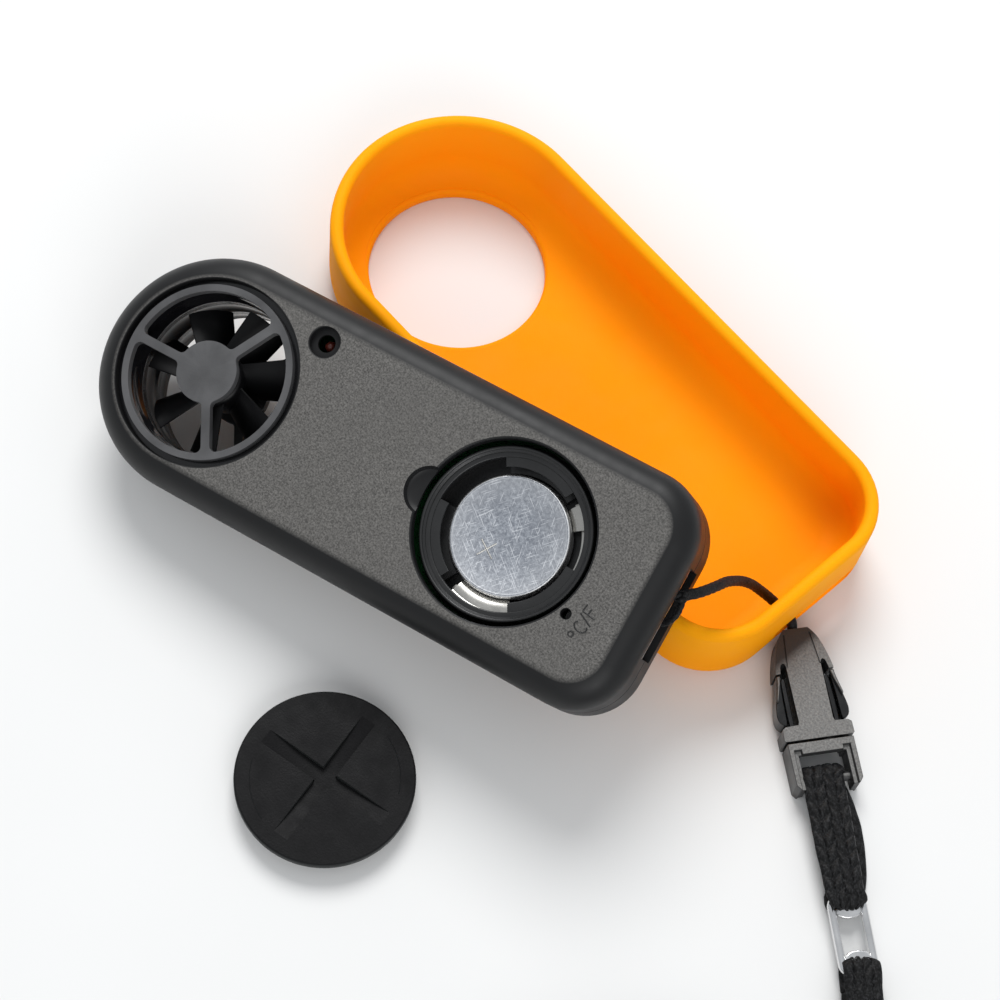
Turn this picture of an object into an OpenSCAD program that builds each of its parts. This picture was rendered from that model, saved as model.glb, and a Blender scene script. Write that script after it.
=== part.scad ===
// Handheld weather meter laid out for a battery change: the casing lies back up
// across one wall of its silicone sleeve, the battery cover is off, and the
// lanyard with its side-release buckle runs through the sleeve's end wall.
// Origin: centre of the sleeve's underside. +X towards the lanyard end, +Z up.

/* [Casing] */
// Overall length of the casing
casing_len = 105.5; // [104:0.5:107]
// Overall width of the casing; the fan end is half of it in radius
casing_w = 40.6; // [40:0.1:41]
// Thickness of the casing, back face to front face
casing_t = 18; // [17.5:0.1:18.5]
// Wall thickness of both shells
shell_t = 1.8; // [1.5:0.1:2]
// Radius of the rolled edge round the back face
back_edge_r = 5; // [4:0.5:6]
// Radius of the rolled edge round the front face
front_edge_r = 4; // [3:0.5:5]
// Radius of the two corners at the lanyard end
end_corner_r = 10; // [9:0.5:11]

/* [Fan] */
// Inner radius of the air duct
duct_r = 13.6; // [13:0.1:13.8]
// Radius of the opening in the shells round the fan module
fan_port_r = 15.8; // [15.6:0.1:16]
// Outer radius of the grille rings
grille_r = 14.75; // [14.5:0.05:15]
// Width of one grille spoke
spoke_w = 1.5; // [1.2:0.1:2]
// Radius of the plain disc in the middle of a grille
hub_disc_r = 5.2; // [4.8:0.1:5.6]
// Number of impeller blades
blade_count = 7; // [6:1:8]
// Tip radius of the impeller
blade_tip_r = 12.9; // [12:0.1:13]
// Pitch of a blade from the plane of rotation
blade_pitch = 42; // [35:1:50]

/* [Battery] */
// Distance from the fan's axis to the battery well's axis
well_x = 57.3; // [57:0.1:57.6]
// Radius of the well's opening in the rear shell
well_r = 15; // [14.9:0.1:15.2]
// Radius of the coin cell
coin_r = 10; // [9.9:0.1:10]
// Thickness of the coin cell
coin_t = 3.2; // [3.1:0.1:3.2]
// Depth of the coin cell's face below the back face
coin_depth = 4.2; // [4:0.1:4.4]
// Radius of the battery cover's disc
cover_r = 14.65; // [14.5:0.05:14.7]
// Thickness of the battery cover's disc
cover_disc_t = 1.4; // [1.2:0.1:1.6]
// Height of the skirt under the battery cover's disc
cover_skirt_h = 2.7; // [2.6:0.05:2.75]

/* [Display and controls] */
// Length of the display window along the casing
window_l = 38; // [34:1:40]
// Width of the display window
window_w = 27; // [24:1:28]
// Radius of a front button's cap
button_r = 3.6; // [3:0.1:3.7]
// Half the distance between the two front buttons
button_y = 7.5; // [7:0.5:8]
// Travel of a front button
button_travel = 0.3; // [0.2:0.05:0.35]

/* [Sleeve] */
// Wall thickness of the silicone sleeve
sleeve_wall = 2.4; // [2.2:0.1:2.6]
// Height of the sleeve's wall
sleeve_h = 17.3; // [17:0.1:17.4]
// Thickness of the sleeve's base
sleeve_base = 2.3; // [2:0.1:2.6]
// Gap between the casing and the sleeve when the sleeve is on
sleeve_gap = 0.1; // [0:0.05:0.2]
// Radius of the fan opening in the sleeve's base
sleeve_hole_r = 15.8; // [15:0.1:16.4]
// Length of the lanyard slit in the end wall
slit_l = 19; // [17:0.5:20]
// Height of the lanyard slit
slit_h = 3; // [2.6:0.1:3.4]

/* [Lanyard] */
// Diameter of the thin cord
cord_d = 1.8; // [1.6:0.1:2]
// Width of the braided strap
strap_w = 7; // [6.5:0.1:7.5]
// Thickness of one layer of the braided strap
strap_t = 1.5; // [1.3:0.1:1.6]
// Length of the buckle's socket
socket_l = 19.3; // [19:0.1:20]
// Width of the buckle's collar
socket_w = 11.8; // [11.5:0.1:12]
// Thickness of the buckle
buckle_t = 5.2; // [5:0.1:5.4]
// Radius of the link's steel wire
link_wire_r = 0.7; // [0.6:0.05:0.8]

/* [Hidden] */
$fn = 64;
eps = 0.01;

// Casing, in its own frame: fan axis at x = y = 0, back face at z = 0, inside below it
fan_end_r = casing_w / 2;
casing_end = casing_len - fan_end_r;
split_z = -9;                     // where the two shells meet
inner_front = -casing_t + shell_t;
vent = [15.6, 13.3];              // temperature sensor's vent in the back face
pin_hole = [72.5, -6.6];          // reset-pin hole over the unit switch
thumb_notch = [43.4, 0];
notch_y = [-7, 9];                // lanyard recess in the end wall
notch_z = [-12.2, -5.8];
notch_depth = 3.4;
bar_r = 0.8;
bar = [casing_end - 1.4, 1, split_z];
grille_t = 1.5;
boss_h = 1.8;                     // bearing boss under each grille disc
board_z = -10.4;                  // front side of the circuit board
board_t = 1;
screw_spots = [[19.4, 15.6], [19.4, -15.6], [78, 13], [78, -13]];
// Battery well: a lip, a step for the seal and three ledges that the lugs turn under
lip_top = -1.6;
step_top = -2.4;
ledge_z = [-3.2, -2.6];
well_floor = -7.8;
holder_t = 1;
holder_in_r = 13.2;
step_in_r = 12.4;
ledge_in_r = 10.9;
ledge_starts = [60, 180, 300];
lug_t = 0.8;
lug_starts = [15, 135, 255];
button_x = 73.5;
window_x = 24;

// How the casing lies: its roll, its rise towards the lanyard end and its heading,
// then the place of the fan's centre on the back face
casing_turn = [20.7, -7.4, 16.5];
casing_at = [-35.12, -53.65, 23.5];
// Where the lanyard slit starts: across the end wall, then above the floor
slit_at = [-6.2, 3.3];
// Where the battery cover lies
cover_at = [25.9, -78.8, 0];
// Buckle: nose and heading
buckle_at = [56.5, -2.6, 0];
buckle_turn = -31.8;
socket_gap = 0.4;                 // between the socket's mouth and the plug's base
plug_end = 27.6;
plug_bar_x = 25.6;
// Short strap, link and neck strap, each from the bar that it hangs on
strap_at = [77.9, -16.5, 0];
strap_turn = -33.7;
strap_len = 20;
bar_z = strap_t + 1;
strap_end_w = 4;                  // width of a strap where the link gathers it
link_leg_y = 3.2;
link_len = 12;
neck_turn = -40;
cuff_len = 8;
// Route of the thin cord, from the lanyard bar to the buckle's nose
cord_route = [
    [44.9, -21.8, 27.9], [45.8, -19.8, 27.5], [46.2, -17.5, 26.1], [46.4, -15, 24.4],
    [46.4, -12.6, 22.2], [46.6, -10.4, 19.6], [47, -8.2, 16.7], [47.7, -6.2, 13.6],
    [48.7, -4.6, 10.6], [49.9, -3.3, 8.1], [51.3, -2.3, 6.1], [52.8, -1.6, 4.9],
    [54.2, -1.5, 4.7], [55.4, -2.1, 4.5], [56.4, -2.7, 3.7], [57.4, -3.3, 3.3]
];
// Route of the doubled neck strap, from its cuff to its coil
neck_route = [
    [112.7, -41.1, 2.4], [116.1, -43.8, 2.7], [119.5, -46.6, 3.1], [122.9, -49.4, 3.5],
    [126.3, -52.2, 3.7], [129.7, -55.1, 3.8]
];
coil_at = [121.7, -97.8, 0];
coil_out_r = 42;
coil_in_r = 12;
coil_h = 7.2;
tie_in_r = 28;
tie_t = 0.6;
tie_w = 5;
tie_turn = 215;

// ---------------------------------------------------------------- helpers
module place_casing() { translate(casing_at) rotate(casing_turn) children(); }
module place_buckle() { translate(buckle_at) rotate([0, 0, buckle_turn]) children(); }
module at(x, y, z = 0) { translate([x, y, z]) children(); }

// A solid ring or disc between two heights
module ring(r_out, r_in, z_low, z_high) {
    translate([0, 0, z_low]) difference() {
        cylinder(r = r_out, h = z_high - z_low);
        if (r_in > 0) translate([0, 0, -1]) cylinder(r = r_in, h = z_high - z_low + 2);
    }
}

// Flat outline of a body with one round end and two rounded corners, moved in by inset
module outline(r, x_end, corner, inset) {
    circle(r = r - inset);
    translate([0, -(r - inset)]) square([x_end - corner, 2 * (r - inset)]);
    translate([0, -(r - corner)]) square([x_end - inset, 2 * (r - corner)]);
    for (side = [-1, 1]) translate([x_end - corner, side * (r - corner)])
        circle(r = corner - inset);
}

// Sweeps a profile round that outline; the profile's x is the distance outwards
module sweep_outline(r, x_end, corner) {
    rotate([0, 0, 90]) rotate_extrude(angle = 180) translate([r, 0]) children();
    for (side = [0, 1]) mirror([0, side, 0]) {
        translate([x_end - corner, r - corner, 0])
            rotate_extrude(angle = 90) translate([corner, 0]) children();
        translate([0, r, 0]) rotate([90, 0, 90])
            linear_extrude(height = x_end - corner) children();
    }
    translate([x_end, r - corner, 0]) rotate([90, 0, 0])
        linear_extrude(height = 2 * (r - corner)) children();
}

// Wall profile of a shell with a rolled edge of radius edge_r, from z = 0 down to -depth
module shell_profile(edge_r, depth) {
    difference() {
        union() {
            translate([-edge_r, -depth]) square([edge_r, depth - edge_r]);
            intersection() {
                translate([-edge_r, -edge_r]) circle(r = edge_r);
                translate([-edge_r, -edge_r]) square(edge_r);
            }
        }
        translate([-edge_r - 1, -depth - 1])
            square([edge_r + 1 - shell_t, depth + 1 - edge_r]);
        translate([-edge_r, -edge_r]) circle(r = edge_r - shell_t);
    }
}

module half_shell(edge_r, depth) {
    sweep_outline(fan_end_r, casing_end, end_corner_r) shell_profile(edge_r, depth);
    translate([0, 0, -shell_t]) linear_extrude(height = shell_t)
        outline(fan_end_r, casing_end, end_corner_r, edge_r - eps);
}

// Pocket of the lanyard recess: its walls, then its hollow
module notch_walls(z_low, z_high) {
    translate([casing_end - notch_depth - 1.2, notch_y[0] - 1.2, z_low])
        cube([notch_depth + 0.6, notch_y[1] - notch_y[0] + 2.4, z_high - z_low]);
}
module notch_hollow() {
    translate([casing_end - notch_depth, notch_y[0], notch_z[0]])
        cube([notch_depth + 2, notch_y[1] - notch_y[0], notch_z[1] - notch_z[0]]);
}
module bar_seat() {
    translate([bar[0], notch_y[0] - 1.2 - eps, bar[2]]) rotate([-90, 0, 0])
        cylinder(r = bar_r, h = notch_y[1] - notch_y[0] + 2.4 + 2 * eps);
}

// Sweeps an oval section along a route, each ring square to the route's heading;
// tilt turns the section from flat (0) to on edge (90)
function unit(v) = v / norm(v);
function heading(p, i) = unit(p[min(i + 1, len(p) - 1)] - p[max(i - 1, 0)]);
function ring_points(c, h, w, t, tilt, sides) =
    let (level = unit(cross([0, 0, 1], h)), rise = cross(h, level))
    [for (k = [0 : sides - 1]) let (a = 360 * (k + 0.5) / sides, u = w / 2 * cos(a),
        v = t / 2 * sin(a)) c + level * (u * cos(tilt) - v * sin(tilt))
        + rise * (u * sin(tilt) + v * cos(tilt))];
module swept(route, w, t, tilts, sides = 8) {
    n = len(route);
    points = [for (i = [0 : n - 1]) each
        ring_points(route[i], heading(route, i), w, t, tilts[i], sides)];
    walls = [for (i = [0 : n - 2], k = [0 : sides - 1]) let (m = (k + 1) % sides)
        [i * sides + k, i * sides + m, (i + 1) * sides + m, (i + 1) * sides + k]];
    first = [[for (k = [sides - 1 : -1 : 0]) k]];
    last = [[for (k = [0 : sides - 1]) (n - 1) * sides + k]];
    polyhedron(points = points, faces = concat([for (f = walls)
        [f[3], f[2], f[1], f[0]]], [for (f = first) [for (k = f) sides - 1 - k]],
        [for (f = last) [for (k = [sides - 1 : -1 : 0]) f[k]]]), convexity = 6);
}

// A flat band folded round two bars: outline of a racetrack, seen from the side
module racetrack(length, r) {
    for (x = [0, length]) translate([x, 0]) circle(r = r);
    translate([0, -r]) square([length, 2 * r]);
}
// The band's width goes from w_start at the first bar to w_end at the second
module strap_loop(length, inner_r, w_start, w_end) {
    reach = inner_r + strap_t;
    intersection() {
        rotate([90, 0, 0]) translate([0, 0, -strap_w]) linear_extrude(height = 2 * strap_w)
            difference() {
                racetrack(length, reach);
                racetrack(length, inner_r);
            }
        translate([0, 0, -strap_w]) linear_extrude(height = 2 * strap_w)
            polygon([for (s = [1, -1], k = s > 0 ? [0, 1] : [1, 0])
                [k * length + (2 * k - 1) * reach, s * (k > 0 ? w_end : w_start) / 2]]);
    }
}

// ---------------------------------------------------------------- casing
module rear_casing() {
    color("#26282b") place_casing() difference() {
        union() {
            half_shell(back_edge_r, -split_z);
            notch_walls(split_z, notch_z[1] + 1.2);
            at(pin_hole[0], pin_hole[1]) ring(1.8, 0, -2.8, -shell_t + eps);
            at(vent[0], vent[1]) ring(3.4, 0, -2.6, -shell_t + eps);
        }
        at(0, 0, -20) cylinder(r = fan_port_r, h = 30);
        at(well_x, 0, -20) cylinder(r = well_r, h = 30);
        at(thumb_notch[0], thumb_notch[1], 5.2) sphere(r = 6.5);
        at(vent[0], vent[1], -1.2) cylinder(r = 2.7, h = 5);
        at(vent[0], vent[1], -5) cylinder(r = 1.5, h = 10);
        at(pin_hole[0], pin_hole[1], -5) cylinder(r = 0.85, h = 10);
        notch_hollow();
        bar_seat();
    }
}

module front_casing() {
    color("#1f2124") place_casing() difference() {
        union() {
            translate([0, 0, -casing_t]) mirror([0, 0, 1])
                half_shell(front_edge_r, casing_t + split_z);
            notch_walls(notch_z[0] - 1.2, split_z);
            for (p = screw_spots) at(p[0], p[1])
                ring(2, 0, inner_front - eps, board_z);
        }
        at(0, 0, -20) cylinder(r = fan_port_r, h = 30);
        translate([window_x, -window_w / 2, -20]) cube([window_l, window_w, 10]);
        for (s = [-1, 1]) at(button_x, s * button_y, -20)
            cylinder(r = button_r + 0.2, h = 10);
        for (p = screw_spots) at(p[0], p[1], board_z - 4) cylinder(r = 0.8, h = 10);
        notch_hollow();
        bar_seat();
    }
}

module circuit_board() {
    color("#1f6b3a") place_casing() translate([0, 0, board_z]) difference() {
        translate([8, -17.6, 0]) cube([72, 35.2, board_t]);
        translate([0, 0, -5]) cylinder(r = fan_port_r + 0.4, h = 10);
        for (s = [-1, 1]) translate([80, s * 17.6, -5]) rotate([0, 0, 45])
            cube([9, 9, 20], center = true);
        for (p = screw_spots) at(p[0], p[1], -5) cylinder(r = 0.95, h = 10);
    }
}

module circuit_board_screws() {
    color("#b9bcc0") place_casing() for (p = screw_spots) at(p[0], p[1]) {
        ring(0.78, 0, board_z - 3.6, board_z + board_t + eps);
        difference() {
            ring(1.6, 0, board_z + board_t, board_z + board_t + 0.9);
            translate([0, 0, board_z + board_t + 1]) cube([0.4, 2.2, 1], center = true);
            translate([0, 0, board_z + board_t + 1]) cube([2.2, 0.4, 1], center = true);
        }
    }
}

module main_chip() {
    color("#15161a") place_casing()
        translate([38, -4, board_z - 1.4]) cube([8, 8, 1.4]);
}
module timing_crystal() {
    color("#c9ccd0") place_casing() translate([63.5, 3, board_z - 1.2]) rotate([0, 90, 0])
        cylinder(r = 1.1, h = 5.5);
}
module backlight_panel() {
    color("#f1f3ee") place_casing() translate([window_x + 3, -12, -13.4])
        cube([window_l - 5, 24, 1.2]);
}
module lcd_panel() {
    color("#8f9a86") place_casing() translate([window_x - 1.5, -14.5, -15.9])
        cube([window_l + 3, 29, 2.4]);
}
module lcd_connector() {
    color("#d58fa0") place_casing() translate([window_x - 1.2, -12, -13.5])
        cube([2.2, 24, board_z + 13.5]);
}
module lcd_window() {
    color("#8fa0a8", 0.4) place_casing() union() {
        translate([window_x + 0.15, -window_w / 2 + 0.15, -17.9])
            cube([window_l - 0.3, window_w - 0.3, 1.8]);
        translate([window_x - 1, -window_w / 2 - 1, inner_front + 0.02])
            cube([window_l + 2, window_w + 2, 0.25]);
    }
}

// One front button: cap, flange under the shell and stem over its switch
module front_button(side) {
    place_casing() at(button_x, side * button_y) {
        ring(button_r, 0, -17.9, inner_front + 0.1);
        ring(button_r + 0.8, 0, inner_front + 0.05, inner_front + 0.8);
        ring(1.2, 0, inner_front + 0.5, board_z - 1.6 - button_travel - 0.15);
    }
}
module mode_button() { color("#c8641c") front_button(1); }
module set_button() { color("#c8641c") front_button(-1); }
module tact_switch(side) {
    place_casing() translate([button_x - 2.5, side * button_y - 2.5, board_z - 1.6])
        cube([5, 5, 1.6]);
}
module mode_switch() { color("#2c2d30") tact_switch(1); }
module set_switch() { color("#2c2d30") tact_switch(-1); }

module unit_switch() {
    color("#2c2d30") place_casing() difference() {
        translate([71.4, -8.4, board_z + board_t]) cube([3, 3, 4]);
        at(pin_hole[0], pin_hole[1], -7.4) cylinder(r = 0.75, h = 5);
    }
}
module unit_switch_plunger() {
    color("#e8e4da") place_casing() at(pin_hole[0], pin_hole[1])
        ring(0.68, 0, -7, -3.4);
}

module temperature_sensor() {
    color("#d8d2c0") place_casing() at(vent[0], vent[1]) {
        ring(0.9, 0, -6.2, -3.2);
        for (s = [-1, 1]) translate([s * 0.45, 0, 0])
            ring(0.2, 0, board_z + board_t, -6.1);
    }
}

module lanyard_bar() {
    color("#c9ccd0") place_casing() translate([bar[0], notch_y[0] - 1.2, bar[2]])
        rotate([-90, 0, 0]) cylinder(r = bar_r, h = notch_y[1] - notch_y[0] + 2.4);
}

// ---------------------------------------------------------------- fan module
module grille(disc_z, boss_low, boss_high) {
    ring(grille_r, duct_r - 0.1, disc_z, disc_z + grille_t);
    for (a = [60, 180, 300]) rotate([0, 0, a]) difference() {
        translate([0, -spoke_w / 2, disc_z]) cube([duct_r + 0.4, spoke_w, grille_t]);
        cylinder(r = hub_disc_r - 0.5, h = 50, center = true);
    }
    ring(hub_disc_r, 0, disc_z, disc_z + grille_t);
    ring(2.4, 1.6, boss_low, boss_high);
}
module rear_grille() {
    color("#2b2d30") place_casing() grille(-grille_t - 0.1, -1.6 - boss_h, -1.6 + eps);
}
module front_grille() {
    color("#2b2d30") place_casing() grille(-casing_t + 0.1, -casing_t + 1.6 - eps,
        -casing_t + 1.6 + boss_h);
}
module bearing(z_low) { ring(1.58, 0.65, z_low, z_low + 1.6); }
module rear_bearing() { color("#b5a642") place_casing() bearing(-3.3); }
module front_bearing() { color("#b5a642") place_casing() bearing(-casing_t + 1.7); }
module fan_duct() {
    color("#1b1c1f") place_casing() ring(fan_port_r - 0.05, duct_r, -16.4, -1.6);
}
module hall_sensor() {
    color("#101114") place_casing() translate([17, -2, -13.4]) cube([1.6, 4, 3]);
}

module impeller() {
    color("#141517") place_casing() {
        ring(4.6, 0.6, -11.6, -4.4);
        for (i = [0 : blade_count - 1]) rotate([0, 0, 27.7 + 360 * i / blade_count])
            translate([(4.2 + blade_tip_r - 0.35) / 2, 0, -8]) rotate([blade_pitch, 0, 0])
                cube([blade_tip_r - 0.35 - 4.2, 8.6, 0.7], center = true);
    }
}
module impeller_shaft() { color("#c9ccd0") place_casing() ring(0.6, 0, -16, -2); }
module impeller_magnet() {
    color("#7d8086") place_casing() ring(2.6, 0.6, -13, -11.6);
}

// ---------------------------------------------------------------- battery
module arc_ring(r_out, r_in, z_low, z_high, start, sweep) {
    translate([0, 0, z_low]) rotate([0, 0, start]) rotate_extrude(angle = sweep)
        translate([r_in, 0]) square([r_out - r_in, z_high - z_low]);
}

module battery_holder() {
    out_r = well_r - 0.3;
    color("#232427") place_casing() at(well_x, 0) {
        rotate([0, 0, 25]) rotate_extrude() polygon([[0, well_floor - holder_t],
            [out_r, well_floor - holder_t], [out_r, lip_top], [holder_in_r, lip_top],
            [holder_in_r, step_top], [step_in_r, step_top], [step_in_r, ledge_z[0]],
            [holder_in_r, ledge_z[0]], [holder_in_r, well_floor], [0, well_floor]]);
        for (a = ledge_starts) {
            arc_ring(holder_in_r + 0.5, ledge_in_r, ledge_z[0], ledge_z[1], a, 60);
            arc_ring(holder_in_r + 0.5, coin_r + 0.25, well_floor - 0.4, -6.2, a, 60);
        }
    }
}
module coin_cell() {
    color("#cfd3d8") place_casing() at(well_x, 0) {
        ring(coin_r, 0, -coin_depth - coin_t + 0.4, -coin_depth);
        ring(8.8, 0, -coin_depth - coin_t, -coin_depth - coin_t + 0.4 + eps);
    }
}
// One strip round the cell's edge, with two sprung tabs that reach down to the floor
module positive_contact() {
    tabs = [[251, 48], [10, 42]];
    color("#d9d4c2") place_casing() at(well_x, 0) {
        arc_ring(12.3, 11.4, -5.7, -5.3, 249, 165);
        for (tab = tabs) {
            arc_ring(11.8, coin_r + 0.1, -5.65, -5.4, tab[0], tab[1]);
            arc_ring(12.15, 11.9, well_floor + 0.01, -5.5, tab[0] + 2, tab[1] - 4);
        }
    }
}
module negative_contact() {
    color("#d9d4c2") place_casing() translate([well_x - 6, -1.5, -7.78])
        cube([12, 3, 0.3]);
}

module battery_cover() {
    slot_r = 62;
    color("#242528") translate(cover_at) difference() {
        union() {
            ring(cover_r, 0, cover_skirt_h, cover_skirt_h + cover_disc_t);
            ring(ledge_in_r - 0.2, 9.6, 0, cover_skirt_h + 0.2);
            ring(11.9, 9.6, cover_skirt_h - 0.9, cover_skirt_h + 0.2);
            for (a = lug_starts) arc_ring(12.2, ledge_in_r - 0.5, 0, lug_t, a, 30);
            for (a = [150, 318]) arc_ring(12.3, 11.8, cover_skirt_h + cover_disc_t - eps,
                cover_skirt_h + cover_disc_t + 0.2, a, 62);
        }
        for (a = [14, 104]) rotate([0, 0, a])
            translate([0, 1, cover_skirt_h + cover_disc_t - 1 + slot_r])
                rotate([90, 0, 0]) cylinder(r = slot_r, h = 2, $fn = 128);
    }
}
module battery_cover_seal() {
    color("#3a3c40") translate(cover_at) translate([0, 0, cover_skirt_h - 0.65])
        rotate_extrude() translate([12.55, 0]) circle(r = 0.6, $fn = 24);
}

// ---------------------------------------------------------------- sleeve
module sleeve() {
    r = fan_end_r + sleeve_gap + sleeve_wall;
    half = (casing_len + 2 * (sleeve_gap + sleeve_wall)) / 2;
    corner = end_corner_r + sleeve_gap + sleeve_wall;
    foot_r = 4;
    fillet_r = 5;
    rim_r = sleeve_wall / 2;
    x_end = 2 * half - r;
    color("#ff8c00") translate([r - half, 0, 0]) difference() {
        union() {
            sweep_outline(r, x_end, corner) difference() {
                union() {
                    translate([-sleeve_wall, foot_r])
                        square([sleeve_wall, sleeve_h - foot_r - rim_r]);
                    translate([-rim_r, sleeve_h - rim_r]) circle(r = rim_r, $fn = 32);
                    translate([-foot_r, foot_r]) intersection() {
                        circle(r = foot_r);
                        translate([0, -foot_r]) square(foot_r);
                    }
                    translate([-sleeve_wall - fillet_r, 0])
                        square([sleeve_wall + fillet_r - foot_r, sleeve_base]);
                    translate([-sleeve_wall - fillet_r, sleeve_base])
                        square([fillet_r, fillet_r]);
                    translate([-foot_r, 0]) square([foot_r - sleeve_wall + eps, foot_r]);
                    translate([-foot_r, foot_r]) square([foot_r - eps, 2]);
                }
                translate([-sleeve_wall - fillet_r, sleeve_base + fillet_r])
                    circle(r = fillet_r);
                difference() {
                    translate([-foot_r, -1]) square([foot_r + 1, foot_r + 1]);
                    translate([-foot_r, foot_r]) circle(r = foot_r);
                }
            }
            linear_extrude(height = sleeve_base)
                outline(r, x_end, corner, sleeve_wall + fillet_r - eps);
        }
        translate([0, 0, -1]) cylinder(r = sleeve_hole_r, h = sleeve_base + 2);
        translate([x_end - sleeve_wall - 5, slit_at[0], slit_at[1]])
            cube([sleeve_wall + 8, slit_l, slit_h]);
    }
}

// ---------------------------------------------------------------- lanyard
module lanyard_cord() {
    color("#1a1b1d") swept(cord_route, cord_d, cord_d, [for (p = cord_route) 0]);
}

module buckle_outline() {
    polygon([[0, -2.1], [1.2, -3.4], [6.4, -4.6], [7.4, -3.1], [16.6, -2.9], [17.2, -5.2],
        [17.6, -socket_w / 2], [socket_l, -socket_w / 2], [socket_l, socket_w / 2],
        [17.6, socket_w / 2], [17.2, 5.2], [16.6, 2.9], [7.4, 3.1], [6.4, 4.6],
        [1.2, 3.4], [0, 2.1]]);
}
module buckle_socket() {
    color("#3c3d40") place_buckle() difference() {
        linear_extrude(height = buckle_t) buckle_outline();
        translate([4.5, -4, 1]) cube([socket_l, 8, buckle_t - 2]);
        translate([-1, -cord_d / 2 - 0.4, 2]) cube([3.2, cord_d + 0.8, cord_d + 0.9]);
        translate([16, -5, 1]) cube([5, 10, buckle_t - 2]);
    }
}
module buckle_plug() {
    base = socket_l + socket_gap;
    color("#3c3d40") place_buckle() difference() {
        union() {
            translate([base, -5.6, 0]) cube([2, 11.2, buckle_t]);
            for (s = [-1, 1]) translate([base, s < 0 ? -5.6 : 4, 0])
                cube([plug_end - base, 1.6, buckle_t]);
            translate([plug_bar_x, 5, bar_z]) rotate([90, 0, 0]) cylinder(r = 0.8, h = 10);
            translate([7, -1, 1.4]) cube([base - 6.9, 2, buckle_t - 2.8]);
        }
        for (s = [-1, 1]) translate([base - 1, s * 3.75 - 1.05, 1.2])
            cube([1.95, 2.1, buckle_t - 2.4]);
    }
}
// Latch arm: a leaf that bulges out of the socket's window, on a stem from the plug
module latch_arm(side) {
    place_buckle() mirror([0, side < 0 ? 1 : 0, 0]) translate([0, 0, 1.3])
        linear_extrude(height = buckle_t - 2.6)
            polygon([[7.9, 3.4], [9, 4.4], [11, 5.3], [13, 5.95], [14.6, 6.15], [15.8, 5.9],
                [16.5, 5.2], [16.6, 4.5], [19.8, 4.5], [19.8, 3.3], [15.6, 3.3], [9.4, 2.4],
                [8.2, 2.5]]);
}
module left_latch_arm() { color("#2e2f32") latch_arm(1); }
module right_latch_arm() { color("#2e2f32") latch_arm(-1); }

module place_strap() {
    translate(strap_at) rotate([0, 0, strap_turn]) at(0, 0, bar_z) children();
}
module short_strap() {
    color("#17181a") place_strap() strap_loop(strap_len, 1, strap_w, strap_end_w);
}
// Wire link: a rounded rectangle of wire, its two end bars inside the straps
module strap_link() {
    bend = 1.4;
    color("#cfd0d2") place_strap() translate([strap_len, 0, 0])
        for (s = [0, 1]) mirror([0, s, 0]) {
            for (k = [0, 1]) translate([k * link_len, 0, 0]) mirror([1 - k, 0, 0])
                translate([-bend, link_leg_y - bend, 0]) rotate_extrude(angle = 90)
                    translate([bend, 0]) circle(r = link_wire_r, $fn = 24);
            translate([bend, link_leg_y, 0]) rotate([0, 90, 0])
                cylinder(r = link_wire_r, h = link_len - 2 * bend, $fn = 24);
            for (x = [0, link_len]) translate([x, link_leg_y - bend, 0])
                rotate([90, 0, 0]) cylinder(r = link_wire_r, h = link_leg_y - bend, $fn = 24);
        }
}

module place_neck() {
    place_strap() translate([strap_len + link_len, 0, 0])
        rotate([0, 0, neck_turn - strap_turn]) children();
}
module neck_strap_cuff() {
    color("#17181a") place_neck() strap_loop(cuff_len, 1, strap_end_w, strap_w);
}
module neck_strap() {
    turn = [0, 25, 50, 75, 90, 90];
    color("#17181a") swept(neck_route, strap_w, 2 * strap_t, turn, 12);
}
// Tie: a band round one side of the coil
module tie_band(gap) {
    reach = [tie_in_r - tie_t - gap, coil_out_r + tie_t + gap];
    translate(coil_at) rotate([0, 0, tie_turn]) difference() {
        translate([reach[0], -tie_w / 2 - gap, 0])
            cube([reach[1] - reach[0], tie_w + 2 * gap, coil_h + 2 * tie_t + gap]);
        translate([tie_in_r + gap, -tie_w, tie_t + gap])
            cube([coil_out_r - tie_in_r - 2 * gap, 2 * tie_w, coil_h - 2 * gap]);
    }
}
module neck_strap_coil() {
    color("#17181a") difference() {
        translate(coil_at) ring(coil_out_r, coil_in_r, 0, coil_h + tie_t);
        tie_band(0.1);
    }
}
module coil_tie() { color("#2a2b2e") tie_band(0); }

rear_casing();
front_casing();
fan_duct();
rear_grille();
front_grille();
rear_bearing();
front_bearing();
impeller();
impeller_shaft();
impeller_magnet();
hall_sensor();
temperature_sensor();
circuit_board();
main_chip();
timing_crystal();
lcd_panel();
backlight_panel();
lcd_connector();
lcd_window();
mode_button();
set_button();
mode_switch();
set_switch();
unit_switch();
unit_switch_plunger();
battery_holder();
positive_contact();
negative_contact();
coin_cell();
battery_cover();
battery_cover_seal();
circuit_board_screws();
lanyard_bar();
lanyard_cord();
sleeve();
buckle_socket();
buckle_plug();
left_latch_arm();
right_latch_arm();
short_strap();
strap_link();
neck_strap_cuff();
neck_strap();
neck_strap_coil();
coil_tie();
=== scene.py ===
"""Looks of a handheld weather meter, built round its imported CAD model.

Lengths are in millimetres until a piece is made, where they become metres. The casing's pieces
are drawn in the casing's own frame: the fan's axis at x = y = 0, the back face at z = 0 and the
inside below it. The buckle's pieces are drawn with the nose at the origin and +X to the plug.
"""

import math
from itertools import accumulate

import bmesh
import bpy
from mathutils import Euler, Matrix, Vector, noise


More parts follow.
